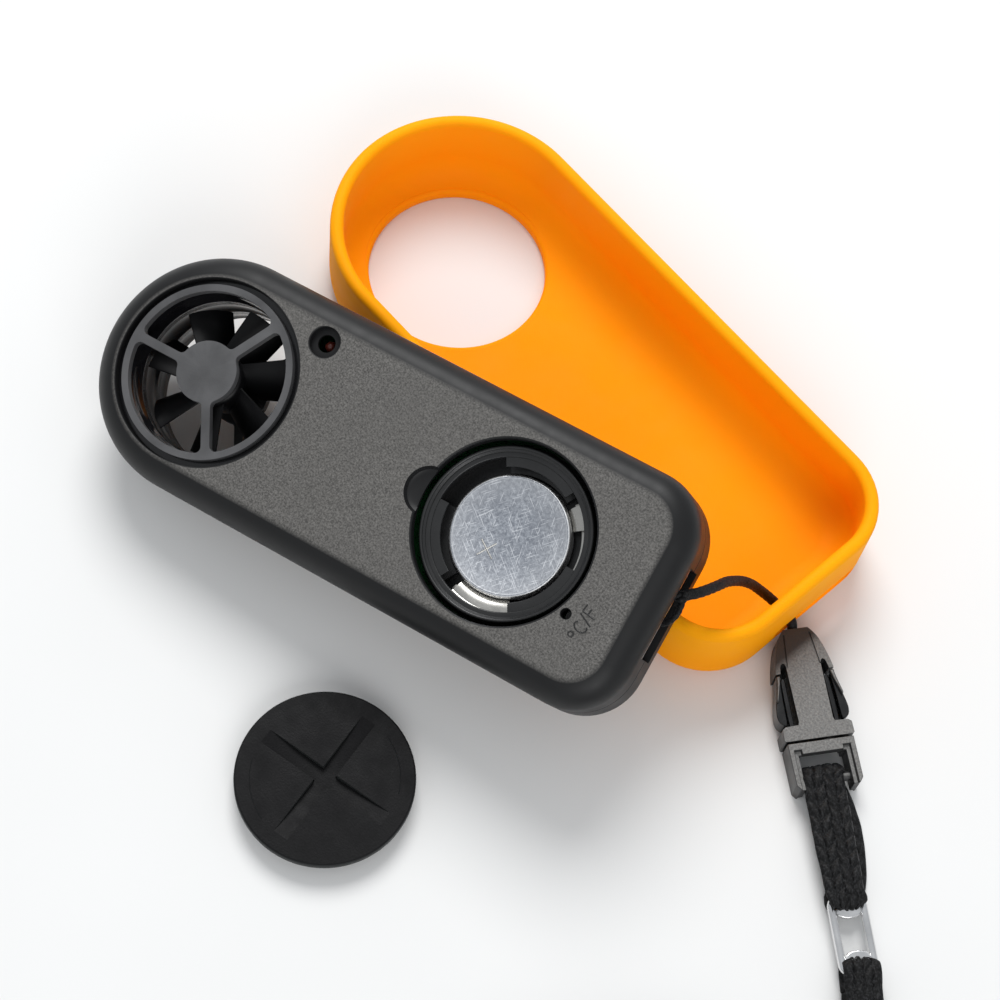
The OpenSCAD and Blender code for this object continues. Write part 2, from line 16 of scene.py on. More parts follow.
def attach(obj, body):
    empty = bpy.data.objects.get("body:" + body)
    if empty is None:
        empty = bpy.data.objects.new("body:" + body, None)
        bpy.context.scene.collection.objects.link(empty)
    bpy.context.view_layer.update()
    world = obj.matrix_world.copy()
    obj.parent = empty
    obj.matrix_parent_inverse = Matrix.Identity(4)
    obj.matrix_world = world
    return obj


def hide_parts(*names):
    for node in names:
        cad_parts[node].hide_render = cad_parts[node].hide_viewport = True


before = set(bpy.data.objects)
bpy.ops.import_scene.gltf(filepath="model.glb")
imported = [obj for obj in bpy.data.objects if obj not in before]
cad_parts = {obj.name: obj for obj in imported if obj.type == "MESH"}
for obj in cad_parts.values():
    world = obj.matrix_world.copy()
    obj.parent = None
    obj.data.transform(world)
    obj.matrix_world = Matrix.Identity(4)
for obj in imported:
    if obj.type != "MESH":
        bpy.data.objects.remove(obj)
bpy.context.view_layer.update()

MM = 0.001
UP = Vector((0, 0, 1))
WORLD = Matrix.Identity(4)

# ---- places, as in the CAD model
CASING_LEN, CASING_W, CASING_T = 105.5, 40.6, 18.0
SHELL_T, BACK_EDGE_R, FRONT_EDGE_R, END_CORNER_R = 1.8, 5.0, 4.0, 10.0
FAN_END_R = CASING_W / 2
CASING_END = CASING_LEN - FAN_END_R
SPLIT_Z = -9.0
DUCT_R, FAN_PORT_R, GRILLE_R, HUB_DISC_R, SPOKE_W = 13.6, 15.8, 14.75, 5.2, 1.5
BLADE_COUNT, BLADE_TIP_R = 7, 12.9
WELL_X, WELL_R, COIN_R, COIN_T, COIN_DEPTH = 57.3, 15.0, 10.0, 3.2, 4.2
COVER_R, COVER_DISC_T, COVER_SKIRT_H = 14.65, 1.4, 2.7
VENT, PIN_HOLE, THUMB_NOTCH = (15.6, 13.3), (72.5, -6.6), (43.4, 0.0)
NOTCH_Y, NOTCH_Z, NOTCH_DEPTH = (-7.0, 9.0), (-12.2, -5.8), 3.4
BAR_X, BAR_Z = CASING_END - 1.4, SPLIT_Z
SLEEVE_WALL, SLEEVE_H, SLEEVE_BASE, SLEEVE_GAP, SLEEVE_HOLE_R = 2.4, 17.3, 2.3, 0.1, 15.8
SLIT_AT, SLIT_L, SLIT_H = (-6.2, 3.3), 19.0, 3.0
CORD_D, STRAP_W, STRAP_T = 1.8, 7.0, 1.5
SOCKET_L, BUCKLE_T = 19.3, 5.2
STRAP_LEN, LINK_LEN, LINK_WIRE_R = 20.0, 12.0, 0.7
COIL_AT = (121.7, -97.8)


def pose(turn, at):
    """The matrix that turns by three angles about X, Y and Z in that order, then moves."""
    return Matrix.Translation(at) @ Euler([math.radians(a) for a in turn]).to_matrix().to_4x4()


def on_casing(x, y, z=0):
    return CASING @ Matrix.Translation((x, y, z))


CASING = pose((20.7, -7.4, 16.5), (-35.12, -53.65, 23.5))
WELL = on_casing(WELL_X, 0)
COVER = pose((0, 0, 0), (25.9, -78.8, 0))
BUCKLE = pose((0, 0, -31.8), (56.5, -2.6, 0))
STRAP_TURN, NECK_TURN = -33.7, -40.0
STRAP_BAR_Z = STRAP_T + 1
STRAP = pose((0, 0, STRAP_TURN), (77.9, -16.5, STRAP_BAR_Z))
NECK = STRAP @ pose((0, 0, NECK_TURN - STRAP_TURN), (STRAP_LEN + LINK_LEN, 0, 0))
SLEEVE_R = FAN_END_R + SLEEVE_GAP + SLEEVE_WALL
SLEEVE_HALF = CASING_LEN / 2 + SLEEVE_GAP + SLEEVE_WALL
SLEEVE = pose((0, 0, 0), (SLEEVE_R - SLEEVE_HALF, 0, 0))

# ---- camera
CAMERA_AT = (114.86, -154.884, 370.366)
CAMERA_FORWARD = Vector((-0.26716, 0.32252, -0.90808))
CAMERA_RIGHT = Vector((0.65862, 0.749, 0.07225))
CAMERA_LENS = 85.46


def make_camera():
    data = bpy.data.cameras.new("camera")
    data.lens, data.sensor_width = CAMERA_LENS, 36
    data.clip_start, data.clip_end = 0.01, 10
    camera = bpy.data.objects.new("camera", data)
    bpy.context.collection.objects.link(camera)
    up = CAMERA_RIGHT.cross(CAMERA_FORWARD)
    turn = Matrix((CAMERA_RIGHT, up, -CAMERA_FORWARD)).transposed()
    camera.matrix_world = Matrix.Translation(Vector(CAMERA_AT) * MM) @ turn.to_4x4()
    bpy.context.scene.camera = camera


make_camera()


# ---- material kit
class Nodes:
    """A short way to build a node material round one Principled shader."""

    def __init__(self, name, colour, roughness, metallic=0.0, **sockets):
        self.material = bpy.data.materials.new(name)
        self.material.use_nodes = True
        self.tree = self.material.node_tree
        self.shader = self.tree.nodes["Principled BSDF"]
        sockets |= {"Base_Color": (*colour, 1), "Roughness": roughness, "Metallic": metallic}
        for socket, value in sockets.items():
            self.shader.inputs[socket.replace("_", " ")].default_value = value
        self.normal = None
        self.place = self.add("ShaderNodeTexCoord").outputs["Object"]

    def add(self, kind, inputs=None, **settings):
        node = self.tree.nodes.new(kind)
        for key, value in settings.items():
            setattr(node, key, value)
        for key, value in (inputs or {}).items():
            if isinstance(value, bpy.types.NodeSocket):
                self.tree.links.new(value, node.inputs[key])
            else:
                node.inputs[key].default_value = value
        return node

    def moved(self, scale, turn):
        """The object's coordinates, turned by three angles and then scaled."""
        turned = self.add("ShaderNodeMapping", {"Vector": self.place, "Rotation": [math.radians(a) for a in turn]})
        return self.add("ShaderNodeMapping", {"Vector": turned.outputs[0], "Scale": scale}).outputs[0]

    def noise(self, size_mm, detail=3.0, rough=0.5, vector=None):
        """Noise from 0 to 1 whose blotches are about that many millimetres across."""
        return self.add("ShaderNodeTexNoise", {"Vector": vector or self.place, "Scale": 1 / (size_mm * MM),
                                               "Detail": detail, "Roughness": rough}).outputs["Fac"]

    def ramp(self, value, low, high, to_low=0.0, to_high=1.0):
        return self.add("ShaderNodeMapRange", {"Value": value, "From Min": low, "From Max": high,
                                               "To Min": to_low, "To Max": to_high}).outputs[0]

    def uneven(self, size_mm, detail, low=0.0, high=1.0):
        """Noise that wanders from one value to another."""
        return self.ramp(self.noise(size_mm, detail), 0.3, 0.7, low, high)

    def mix_colours(self, factor, first, second):
        node = self.add("ShaderNodeMix", {"Factor": factor}, data_type="RGBA")
        for socket, colour in ((6, first), (7, second)):
            if isinstance(colour, bpy.types.NodeSocket):
                self.tree.links.new(colour, node.inputs[socket])
            else:
                node.inputs[socket].default_value = (*colour, 1)
        return node.outputs[2]

    def maths(self, operation, first, second=0.0):
        return self.add("ShaderNodeMath", {0: first, 1: second}, operation=operation).outputs[0]

    def times(self, first, second):
        return self.maths("MULTIPLY", first, second)

    def along(self, direction, vector=None):
        """How far the point, or another vector, lies along a direction."""
        inputs = {0: vector or self.place, 1: tuple(direction)}
        return self.add("ShaderNodeVectorMath", inputs, operation="DOT_PRODUCT").outputs["Value"]

    def facing(self, direction):
        return self.along(direction, self.add("ShaderNodeTexCoord").outputs["Normal"])

    def bump(self, height, depth_mm):
        inputs = {"Height": height, "Distance": depth_mm * MM}
        if self.normal is not None:
            inputs["Normal"] = self.normal
        self.normal = self.add("ShaderNodeBump", inputs).outputs[0]
        self.tree.links.new(self.normal, self.shader.inputs["Normal"])

    def colour(self, socket):
        self.tree.links.new(socket, self.shader.inputs["Base Color"])

    def rough(self, socket):
        self.tree.links.new(socket, self.shader.inputs["Roughness"])


def shade(colour, factor):
    return tuple(min(1.0, c * factor) for c in colour)


# ---- mesh kit
class Shape:
    """Collects points and faces in one local frame; each part of it may have its own material."""

    def __init__(self):
        self.points, self.faces, self.looks = [], [], []

    def add(self, points, faces, look=0):
        start = len(self.points)
        self.points += [Vector(p) for p in points]
        self.faces += [[start + i for i in f] for f in faces]
        self.looks += [look] * len(faces)
        return self

    def lathe(self, profile, steps=96, start=0.0, sweep=360.0):
        """Turns a closed (radius, z) profile about Z; a partial turn gets flat ends."""
        whole = sweep >= 360
        rings = steps if whole else steps + 1
        points = []
        for i in range(rings):
            a = math.radians(start + sweep * i / steps)
            points += [(r * math.cos(a), r * math.sin(a), z) for r, z in profile]
        n = len(profile)
        faces = [[i * n + k, ((i + 1) % rings) * n + k, ((i + 1) % rings) * n + (k + 1) % n,
                  i * n + (k + 1) % n] for i in range(steps) for k in range(n)]
        if not whole:
            faces += [list(range(n))[::-1], [(rings - 1) * n + k for k in range(n)]]
        return self.add(points, faces)

    def loft(self, rings, look=0, caps=True):
        """Skins a row of rings that have the same number of points."""
        n = len(rings[0])
        faces = [[j * n + k, j * n + (k + 1) % n, (j + 1) * n + (k + 1) % n, (j + 1) * n + k]
                 for j in range(len(rings) - 1) for k in range(n)]
        if caps:
            faces += [list(range(n))[::-1], [(len(rings) - 1) * n + k for k in range(n)]]
        return self.add([p for ring in rings for p in ring], faces, look)

    def prism(self, outline, z_low, z_high, look=0):
        return self.loft([[(x, y, z) for x, y in outline] for z in (z_low, z_high)], look)

    def block(self, low, high):
        (x0, y0, z0), (x1, y1, z1) = low, high
        return self.prism([(x0, y0), (x1, y0), (x1, y1), (x0, y1)], z0, z1)


def polar(r, degrees):
    return (r * math.cos(math.radians(degrees)), r * math.sin(math.radians(degrees)))


def arc(centre, radius, start, end, steps):
    spokes = [polar(radius, start + (end - start) * i / steps) for i in range(steps + 1)]
    return [(centre[0] + x, centre[1] + y) for x, y in spokes]


def rounded_rectangle(x0, x1, y0, y1, r, grow=0.0, steps=6):
    corners = ((x1 - r, y0 + r, -90), (x1 - r, y1 - r, 0), (x0 + r, y1 - r, 90), (x0 + r, y0 + r, 180))
    return [p for x, y, a in corners for p in arc((x, y), r + grow, a, a + 90, steps)]


def finish_normals(mesh, angle):
    work = bmesh.new()
    work.from_mesh(mesh)
    bmesh.ops.remove_doubles(work, verts=work.verts, dist=1e-7)
    bmesh.ops.recalc_face_normals(work, faces=work.faces)
    work.to_mesh(mesh)
    work.free()
    mesh.polygons.foreach_set("use_smooth", [True] * len(mesh.polygons))
    mesh.set_sharp_from_angle(angle=math.radians(angle))
    mesh.update()


def new_object(name, shape, place, materials, sharp=38):
    mesh = bpy.data.meshes.new(name)
    mesh.from_pydata([place @ p * MM for p in shape.points], [], shape.faces)
    for material in materials:
        mesh.materials.append(material)
    mesh.polygons.foreach_set("material_index", shape.looks)
    obj = bpy.data.objects.new(name, mesh)
    bpy.context.collection.objects.link(obj)
    finish_normals(mesh, sharp)
    return obj


def modify(obj, kind, **settings):
    """Adds one modifier and applies it."""
    modifier = obj.modifiers.new(kind.lower(), kind)
    for key, value in settings.items():
        setattr(modifier, key, value)
    made = bpy.data.meshes.new_from_object(obj.evaluated_get(bpy.context.evaluated_depsgraph_get()))
    obj.modifiers.clear()
    old, obj.data = obj.data, made
    bpy.data.meshes.remove(old)


def piece(name, shape, place, looks, body, replaces=None, cuts=(), bevel=0.0, sharp=38):
    """Makes an object from a Shape, cuts and bevels it, and lets it ride on a body.

    A cut is a Shape in the piece's own place, or a Shape and its place."""
    keys = looks.split()
    obj = new_object(name, shape, place, [look[key] for key in keys], sharp)
    for cut in cuts:
        cutter = new_object("cutter", *(cut if isinstance(cut, tuple) else (cut, place)), obj.data.materials)
        modify(obj, "BOOLEAN", operation="DIFFERENCE", object=cutter, solver="EXACT")
        mesh = cutter.data
        bpy.data.objects.remove(cutter)
        bpy.data.meshes.remove(mesh)
    if bevel:
        modify(obj, "BEVEL", width=bevel * MM, segments=3, limit_method="ANGLE", angle_limit=math.radians(30))
    finish_normals(obj.data, sharp)
    if bevel or cuts:
        modify(obj, "WEIGHTED_NORMAL", keep_sharp=True, weight=80)
    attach(obj, body)
    if replaces:
        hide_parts(replaces)
    return obj


def smooth_route(points, step):
    """A Catmull-Rom curve through the points, with points about that many millimetres apart."""
    points = [Vector(p) for p in points]
    ends = [2 * points[0] - points[1], *points, 2 * points[-1] - points[-2]]
    line = []
    for a, b, c, d in zip(ends, ends[1:], ends[2:], ends[3:]):
        count = max(2, round((c - b).length / step))
        for i in range(count):
            t = i / count
            line.append(0.5 * (2 * b + (c - a) * t + (2 * a - 5 * b + 4 * c - d) * t * t
                               + (3 * b - a - 3 * c + d) * t ** 3))
    return line + [points[-1]]


def distances(line):
    """How far along a line each of its points lies."""
    return [0.0, *accumulate((b - a).length for a, b in zip(line, line[1:]))]


def headings(line):
    return [(line[min(i + 1, len(line) - 1)] - line[max(i - 1, 0)]).normalized() for i in range(len(line))]


def smooth_step(t):
    t = max(0.0, min(1.0, t))
    return t * t * (3 - 2 * t)


def tube(shape, line, radius, sides=12, look=0, closed=False):
    """Sweeps a round section along a line; radius may be a function of the point's number and the angle."""
    side = UP.cross(headings(line)[0])
    side = side.normalized() if side.length > 0.01 else Vector((1, 0, 0))
    angles = [2 * math.pi * k / sides for k in range(sides)]
    rings = []
    for i, (p, h) in enumerate(zip(line, headings(line))):
        side = (side - h * side.dot(h)).normalized()
        rise = h.cross(side)
        rings.append([p + (side * math.cos(a) + rise * math.sin(a)) * (radius(i, a) if callable(radius) else radius)
                      for a in angles])
    if closed:
        rings.append(rings[0])
    return shape.loft(rings, look, caps=not closed)


def braid_height(along, across, columns, stitch):
    """Height from 0 to 1 of a flat knitted braid: columns of V-shaped stitches."""
    c = across * columns
    x = c - math.floor(c) - 0.5
    phase = along / stitch + abs(x) * 1.1 + 0.5 * (math.floor(c) % 2)
    lobe = abs(math.sin(math.pi * phase)) ** 0.55
    groove = abs(math.sin(2 * math.pi * (x + 0.5))) ** 0.35
    return lobe * (0.3 + 0.7 * groove)


def strap_rings(line, widths, broad=None, thick=STRAP_T, steps=40, columns=2, stitch=2.5, lift=0.5):
    """Rings of a flat braided strap along a line. Its width lies along Y, or as broad says for each point."""
    rings = []
    for i, (p, h, along) in enumerate(zip(line, headings(line), distances(line))):
        wide = broad[i] if broad else Vector((0, 1, 0))
        level = (wide - h * wide.dot(h)).normalized()
        rise = level.cross(h)
        half, ring = widths[i] / 2, []
        wobble = 0.12 * noise.noise(Vector((along * 0.35, 3.1, 0.7)))
        for side in (1, -1):
            for k in range(steps + 1):
                u = (k / steps * 2 - 1) * side
                crown = (1 - abs(u) ** 4) ** 0.5 if abs(u) < 1 else 0.0
                height = braid_height(along, (u + 1) / 2, columns, stitch)
                out = side * (thick / 2 - lift + lift * height) * crown
                ring.append(p + level * (u * half + wobble) + rise * out)
        rings.append(ring)
    return rings


# ---- materials
# The grained face's colour, lifted above the black edge colour to carry a painted sheen as well as the grain's own
# grey.
FACE_ABS_WITH_PAINTED_SHEEN = (0.104, 0.1, 0.094)
EDGE_ABS = (0.0085, 0.0086, 0.009)
ORANGE = (1.0, 0.38, 0.001)
NYLON = (0.0055, 0.0056, 0.006)
NORMAL = CASING.to_3x3() @ UP
BACK_FACE = NORMAL.dot(CASING.translation) * MM


def plastic(name, colour, roughness, grain_mm=0.25, grain_depth=0.012, spread=0.12, **sockets):
    """Moulded plastic: a fine spark-eroded grain, faint flow mottling and uneven gloss."""
    m = Nodes(name, colour, roughness, **sockets)
    m.colour(m.mix_colours(m.uneven(9, 4), shade(colour, 1 - spread), shade(colour, 1 + spread)))
    m.rough(m.uneven(2.5, 5, roughness - 0.05, roughness + 0.05))
    m.bump(m.noise(grain_mm, 2), grain_depth)
    return m.material


def casing_look(name, face):
    """Black ABS: the flat face at one level is spark-eroded and painted lighter, partly its grain's own grey and
    partly a painted sheen; the rest is smooth and dark.
    """
    m = Nodes(name, EDGE_ABS, 0.46, Specular_IOR_Level=0.27)
    level = m.ramp(m.maths("ABSOLUTE", m.facing(NORMAL)), 0.965, 0.998)
    off = m.maths("ABSOLUTE", m.maths("SUBTRACT", m.along(NORMAL), face))
    flat = m.times(level, m.ramp(off, 0.15 * MM, 0.6 * MM, 1.0, 0.0))
    speck = m.ramp(m.noise(0.3, 3, 0.7), 0.35, 0.68)
    grainy = m.mix_colours(speck, shade(FACE_ABS_WITH_PAINTED_SHEEN, 0.45), shade(FACE_ABS_WITH_PAINTED_SHEEN, 1.7))
    tinted = m.mix_colours(m.uneven(14, 4), shade(FACE_ABS_WITH_PAINTED_SHEEN, 0.9), grainy)
    # Painted sheen: the flat face at the back and front levels gets the lighter grained colour, partly the grain's own
    # grey and partly painted sheen; the rest keeps the dark edge colour.
    m.colour(m.mix_colours(flat, EDGE_ABS, m.mix_colours(0.72, tinted, grainy)))
    m.rough(m.maths("ADD", m.uneven(3.5, 5, 0.42, 0.5), m.times(flat, 0.08)))
    m.bump(m.times(m.noise(0.22, 3, 0.65), flat), 0.05)
    m.bump(m.noise(0.5, 2), 0.004)
    return m.material


def silicone_look():
    """Orange silicone: soft, a little translucent, with painted shade that makes it deeper in colour low down, and a
    very fine grain.
    """
    m = Nodes("orange_silicone", ORANGE, 0.62, Subsurface_Weight=0.1, Subsurface_Scale=0.003,
              Subsurface_Radius=(1.0, 0.4, 0.02), Specular_IOR_Level=0.07)
    # Painted shade: towards the bottom the colour runs deeper and redder, as shade in the tray's floor and hollows.
    low = m.ramp(m.along(UP), 0.017, 0.003)
    even = m.mix_colours(m.uneven(28, 3), (1.0, 0.345, 0.0015), (1.0, 0.39, 0.003))
    m.colour(m.mix_colours(m.times(low, 0.7), even, (1.0, 0.31, 0.0006)))
    m.rough(m.uneven(5, 4, 0.55, 0.68))
    m.bump(m.noise(0.18, 2), 0.006)
    m.bump(m.noise(9, 2), 0.05)
    return m.material


def nylon_look(name, fibre=0.3):
    """Knitted nylon: fine fibres with a soft sheen, and light specks in the colour, partly the fibres' own tone and
    partly painted glints.
    """
    m = Nodes(name, NYLON, 0.62, Sheen_Weight=0.07, Sheen_Roughness=0.35, Sheen_Tint=(0.5, 0.5, 0.55, 1),
              Specular_IOR_Level=0.22)
    fibres = m.noise(fibre, 3, 0.7, m.moved((1, 1, 0.45), (20, 35, 34)))
    # Painted sheen: the fibre noise puts light specks in the colour, partly the fibres' own tone and partly painted
    # glints.
    m.colour(m.mix_colours(m.ramp(fibres, 0.48, 0.66), shade(NYLON, 0.2), shade(NYLON, 4.2)))
    m.rough(m.uneven(0.4, 3, 0.5, 0.72))
    m.bump(fibres, 0.05)
    return m.material


def steel_look(name, colour, roughness, scratch=(1, 18, 18), turn=(0, 0, 0), depth=0.006):
    """Steel with fine drawn or brushed lines and smudged gloss."""
    m = Nodes(name, colour, roughness, metallic=1.0)
    lines = m.noise(0.9, 5, 0.75, m.moved(scratch, turn))
    m.colour(m.mix_colours(m.uneven(4, 4), shade(colour, 0.86), shade(colour, 1.05)))
    m.rough(m.maths("ADD", m.ramp(lines, 0.3, 0.7, roughness * 0.6, roughness * 1.4), m.uneven(4, 4, 0, 0.08)))
    m.bump(lines, depth)
    return m.material


def cover_look():
    """The cover's faces are nearly black and dull; its edge and other faces that do not face up are painted lighter, a
    painted highlight.
    """
    m = Nodes("cover_abs", (0.0035, 0.0035, 0.004), 0.5, Specular_IOR_Level=0.14)
    mottle = m.mix_colours(m.ramp(m.noise(0.4, 4, 0.7), 0.35, 0.7), (0.0022, 0.0022, 0.0025), (0.005, 0.0048, 0.0055))
    # Painted highlight: faces that do not face up get a lighter colour than the top.
    m.colour(m.mix_colours(m.ramp(m.facing(UP), 0.6, 0.95), (0.022, 0.024, 0.024), mottle))
    m.rough(m.uneven(3, 5, 0.42, 0.58))
    m.bump(m.noise(0.28, 2), 0.03)
    return m.material


def cell_look():
    """Nickelled steel: the face dull, blotchy and scratched, the rolled edge brighter."""
    m = Nodes("cell_steel", (0.4, 0.42, 0.45), 0.34, metallic=1.0)
    flat = m.ramp(m.facing(NORMAL), 0.97, 0.999)
    blotch = m.times(m.ramp(m.noise(0.5, 4, 0.8), 0.38, 0.66), m.uneven(4, 3, 0.45, 1.0))
    face = m.mix_colours(blotch, (0.27, 0.29, 0.33), (0.55, 0.58, 0.62))
    for angle in (20, 62, 118):
        lines = m.noise(1.0, 1, 0.5, m.moved((0.22, 6, 1), (0, 0, angle)))
        face = m.mix_colours(m.ramp(lines, 0.66, 0.7, 0.0, 0.75), face, (0.85, 0.87, 0.9))
    m.colour(m.mix_colours(flat, (0.93, 0.93, 0.93), face))
    m.rough(m.maths("ADD", m.ramp(blotch, 0, 1, 0.34, 0.46), m.times(flat, 0.1)))
    m.bump(m.noise(0.3, 3), 0.004)
    return m.material


def buckle_look():
    """Moulded acetal: the top panel is grainy and lighter, partly its grain's own grey and partly painted light from
    above; the flanks darker and smoother; the nose has a painted reddish shadow and reflection of the orange sleeve.
    """
    m = Nodes("buckle_acetal", (0.09, 0.089, 0.086), 0.45)
    # Painted light: faces that look up get the lighter grained panel colour, partly the grain's own grey and partly
    # painted light from above.
    top = m.ramp(m.facing(UP), 0.9, 0.995)
    speck = m.ramp(m.noise(0.35, 3, 0.7), 0.35, 0.68)
    panel = m.mix_colours(speck, (0.09, 0.088, 0.084), (0.2, 0.197, 0.188))
    # Painted shadow and reflection: a reddish dark band near the nose, where the sleeve shades it and its orange
    # shows.
    nose = m.ramp(m.along((1, 0, 0)), 0.0590, 0.0606, 0.95, 0.0)
    m.colour(m.mix_colours(top, (0.022, 0.022, 0.022), m.mix_colours(nose, panel, (0.02, 0.014, 0.012))))
    m.rough(m.uneven(2.5, 5, 0.36, 0.5))
    m.bump(m.times(m.noise(0.28, 2), top), 0.03)
    return m.material


def window_look():
    """Clear polycarbonate with a faint tint and fine surface ripples."""
    m = Nodes("window_clear", (0.82, 0.88, 0.9), 0.05, Transmission_Weight=0.9, IOR=1.58)
    m.colour(m.mix_colours(m.uneven(12, 2), (0.78, 0.85, 0.87), (0.86, 0.91, 0.93)))
    m.rough(m.uneven(3, 3, 0.03, 0.08))
    m.bump(m.noise(6, 1), 0.004)
    return m.material


look = {
    "back_shell": casing_look("back_shell_abs", BACK_FACE),
    "front_shell": casing_look("front_shell_abs", BACK_FACE - CASING_T * MM),
    "module": plastic("fan_module_abs", (0.07, 0.07, 0.072), 0.5, 0.3, 0.02, 0.4),
    "duct": plastic("duct_gloss", (0.006, 0.006, 0.007), 0.16, 0.8, 0.002),
    "impeller": plastic("impeller_plastic", (0.0035, 0.0035, 0.004), 0.4, 0.5, 0.004, Specular_IOR_Level=0.2),
    "holder": plastic("holder_abs", (0.012, 0.0122, 0.0125), 0.36, 0.3, 0.02, 0.25),
    "cover": cover_look(),
    "buckle": buckle_look(),
    "latch": plastic("latch_acetal", (0.007, 0.0072, 0.0075), 0.22, 0.4, 0.01, 0.2, Specular_IOR_Level=0.4),
    "silicone": silicone_look(),
    "nylon": nylon_look("braid_nylon"),
    "cord": nylon_look("cord_nylon", 0.2),
    "tie": nylon_look("tie_nylon"),
    "steel": steel_look("turned_steel", (0.62, 0.62, 0.63), 0.28),
    "link": steel_look("link_wire", (0.78, 0.78, 0.78), 0.16, (18, 18, 1), (0, 90, 34), 0.003),
    "cell": cell_look(),
    "contact": steel_look("contact_nickel", (0.5, 0.49, 0.46), 0.32, (1, 12, 12)),
    "bronze": steel_look("bearing_bronze", (0.46, 0.30, 0.12), 0.4),
    "magnet": plastic("ferrite", (0.035, 0.035, 0.037), 0.6, 0.2, 0.03),
    "board": plastic("solder_mask", (0.012, 0.11, 0.03), 0.3, 0.5, 0.01),
    "chip": plastic("chip_epoxy", (0.01, 0.01, 0.011), 0.55, 0.12, 0.01),
    "lcd": plastic("lcd_glass", (0.22, 0.26, 0.19), 0.15, 1.2, 0.002),
    "diffuser": plastic("diffuser", (0.8, 0.82, 0.78), 0.5, 0.4, 0.005, 0.03),
    "elastomer": plastic("connector_rubber", (0.55, 0.2, 0.24), 0.6, 0.3, 0.01),
    "button": plastic("button_rubber", (0.42, 0.09, 0.01), 0.55, 0.25, 0.02),
    "plunger": plastic("plunger_plastic", (0.02, 0.02, 0.02), 0.45, 0.3, 0.006),
    "bead": plastic("sensor_bead", (0.09, 0.018, 0.012), 0.22, 0.5, 0.01),
    "seal": plastic("seal_rubber", (0.012, 0.012, 0.013), 0.55, 0.2, 0.01),
    "window": window_look(),
}
NODE_LOOKS = {
    "back_shell": "rear_casing", "front_shell": "front_casing", "window": "lcd_window", "duct": "fan_duct",
    "module": "rear_grille front_grille", "bronze": "rear_bearing front_bearing", "impeller": "impeller",
    "magnet": "impeller_magnet", "steel": "impeller_shaft timing_crystal circuit_board_screws lanyard_bar",
    "chip": "hall_sensor main_chip mode_switch set_switch unit_switch", "board": "circuit_board",
    "lcd": "lcd_panel", "diffuser": "backlight_panel", "elastomer": "lcd_connector",
    "button": "mode_button set_button", "plunger": "unit_switch_plunger", "bead": "temperature_sensor",
    "holder": "battery_holder", "contact": "positive_contact negative_contact", "cell": "coin_cell",
    "cover": "battery_cover", "seal": "battery_cover_seal", "silicone": "sleeve", "cord": "lanyard_cord",
    "buckle": "buckle_socket buckle_plug", "latch": "left_latch_arm right_latch_arm", "link": "strap_link",
    "nylon": "short_strap neck_strap_cuff neck_strap neck_strap_coil", "tie": "coil_tie",
}
for kind, names in NODE_LOOKS.items():
    for node in names.split():
        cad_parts[node].data.materials.clear()
        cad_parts[node].data.materials.append(look[kind])


# ---- lanyard: cords come first
CORD_ROUTE = [
    (44.9, -21.8, 27.9), (45.8, -19.8, 27.5), (46.2, -17.5, 26.1), (46.4, -15, 24.4),
    (46.4, -12.6, 22.2), (46.6, -10.4, 19.6), (47, -8.2, 16.7), (47.7, -6.2, 13.6),
    (48.7, -4.6, 10.6), (49.9, -3.3, 8.1), (51.3, -2.3, 6.1), (52.8, -1.6, 4.9),
    (54.2, -1.5, 4.7), (55.4, -2.1, 4.5), (56.4, -2.7, 3.7), (57.4, -3.3, 3.3),
]
PLY_TWIST = 2.1


def make_cord(extras):
    """The thin cord: three plies laid round each other, from the casing's bar to the buckle."""
    line = smooth_route(CORD_ROUTE, 0.35)
    along = distances(line)

    def ply(i, a):
        lay = along[i] * PLY_TWIST
        weave = abs(math.sin(3 * a + lay)) ** 0.5 * abs(math.cos(3 * a - lay)) ** 0.5
        return CORD_D / 2 * (0.87 + 0.13 * weave)

    cord = piece("thin_cord", tube(Shape(), line, ply, 24), WORLD, "cord", "lanyard", "lanyard_cord", sharp=70)


# ---- buckle
PLUG_START, PLUG_END, PLUG_BAR_X = SOCKET_L + 0.4, 27.6, 25.6
BUCKLE_WALL = 1.0


def smooth_flat(points):
    return [(p.x, p.y) for p in smooth_route([(x, y, 0) for x, y in points], 0.5)]


def sunk(outline, depth):
    """Cutters that sink an outline into both of the buckle's faces."""
    return [Shape().prism(outline, *z) for z in ((BUCKLE_T - depth, BUCKLE_T + 1), (-1, depth))]


def make_socket():
    """The socket: a hollow body with a plain panel, two open windows and a collar."""
    half = smooth_flat([(0, 2.1), (0.25, 2.35), (1.6, 3.3), (3.4, 4.0), (5.2, 4.5), (6.6, 4.8)])
    half += [(7.6, 4.95), (7.6, 4.15), (6.5, 3.95), (6.0, 3.75), (5.8, 3.4), (6.0, 3.1), (6.4, 2.98),
             (16.2, 2.9), (16.7, 3.1), (16.8, 5.3), (17.2, 5.85), (19.1, 5.9), (SOCKET_L, 5.7)]
    outline = half + [(x, -y) for x, y in half[::-1]]
    ceiling = BUCKLE_T - BUCKLE_WALL
    cuts = [Shape().block((7.0, -3.7, BUCKLE_WALL), (25, 3.7, ceiling)),
            Shape().block((15.8, -5.0, BUCKLE_WALL), (25, 5.0, ceiling)),
            Shape().block((-1, -1.3, 2.0), (4.2, 1.3, 4.7))]
    for s in (1, -1):
        cuts += sunk([(0.9, s * 2.35), (6.6, s * 2.95), (6.6, s * 2.67), (0.9, s * 2.07)], 0.3)
    return piece("socket", Shape().prism(outline[::-1], 0, BUCKLE_T), BUCKLE, "buckle", "lanyard", "buckle_socket",
                 cuts, bevel=0.32, sharp=40)


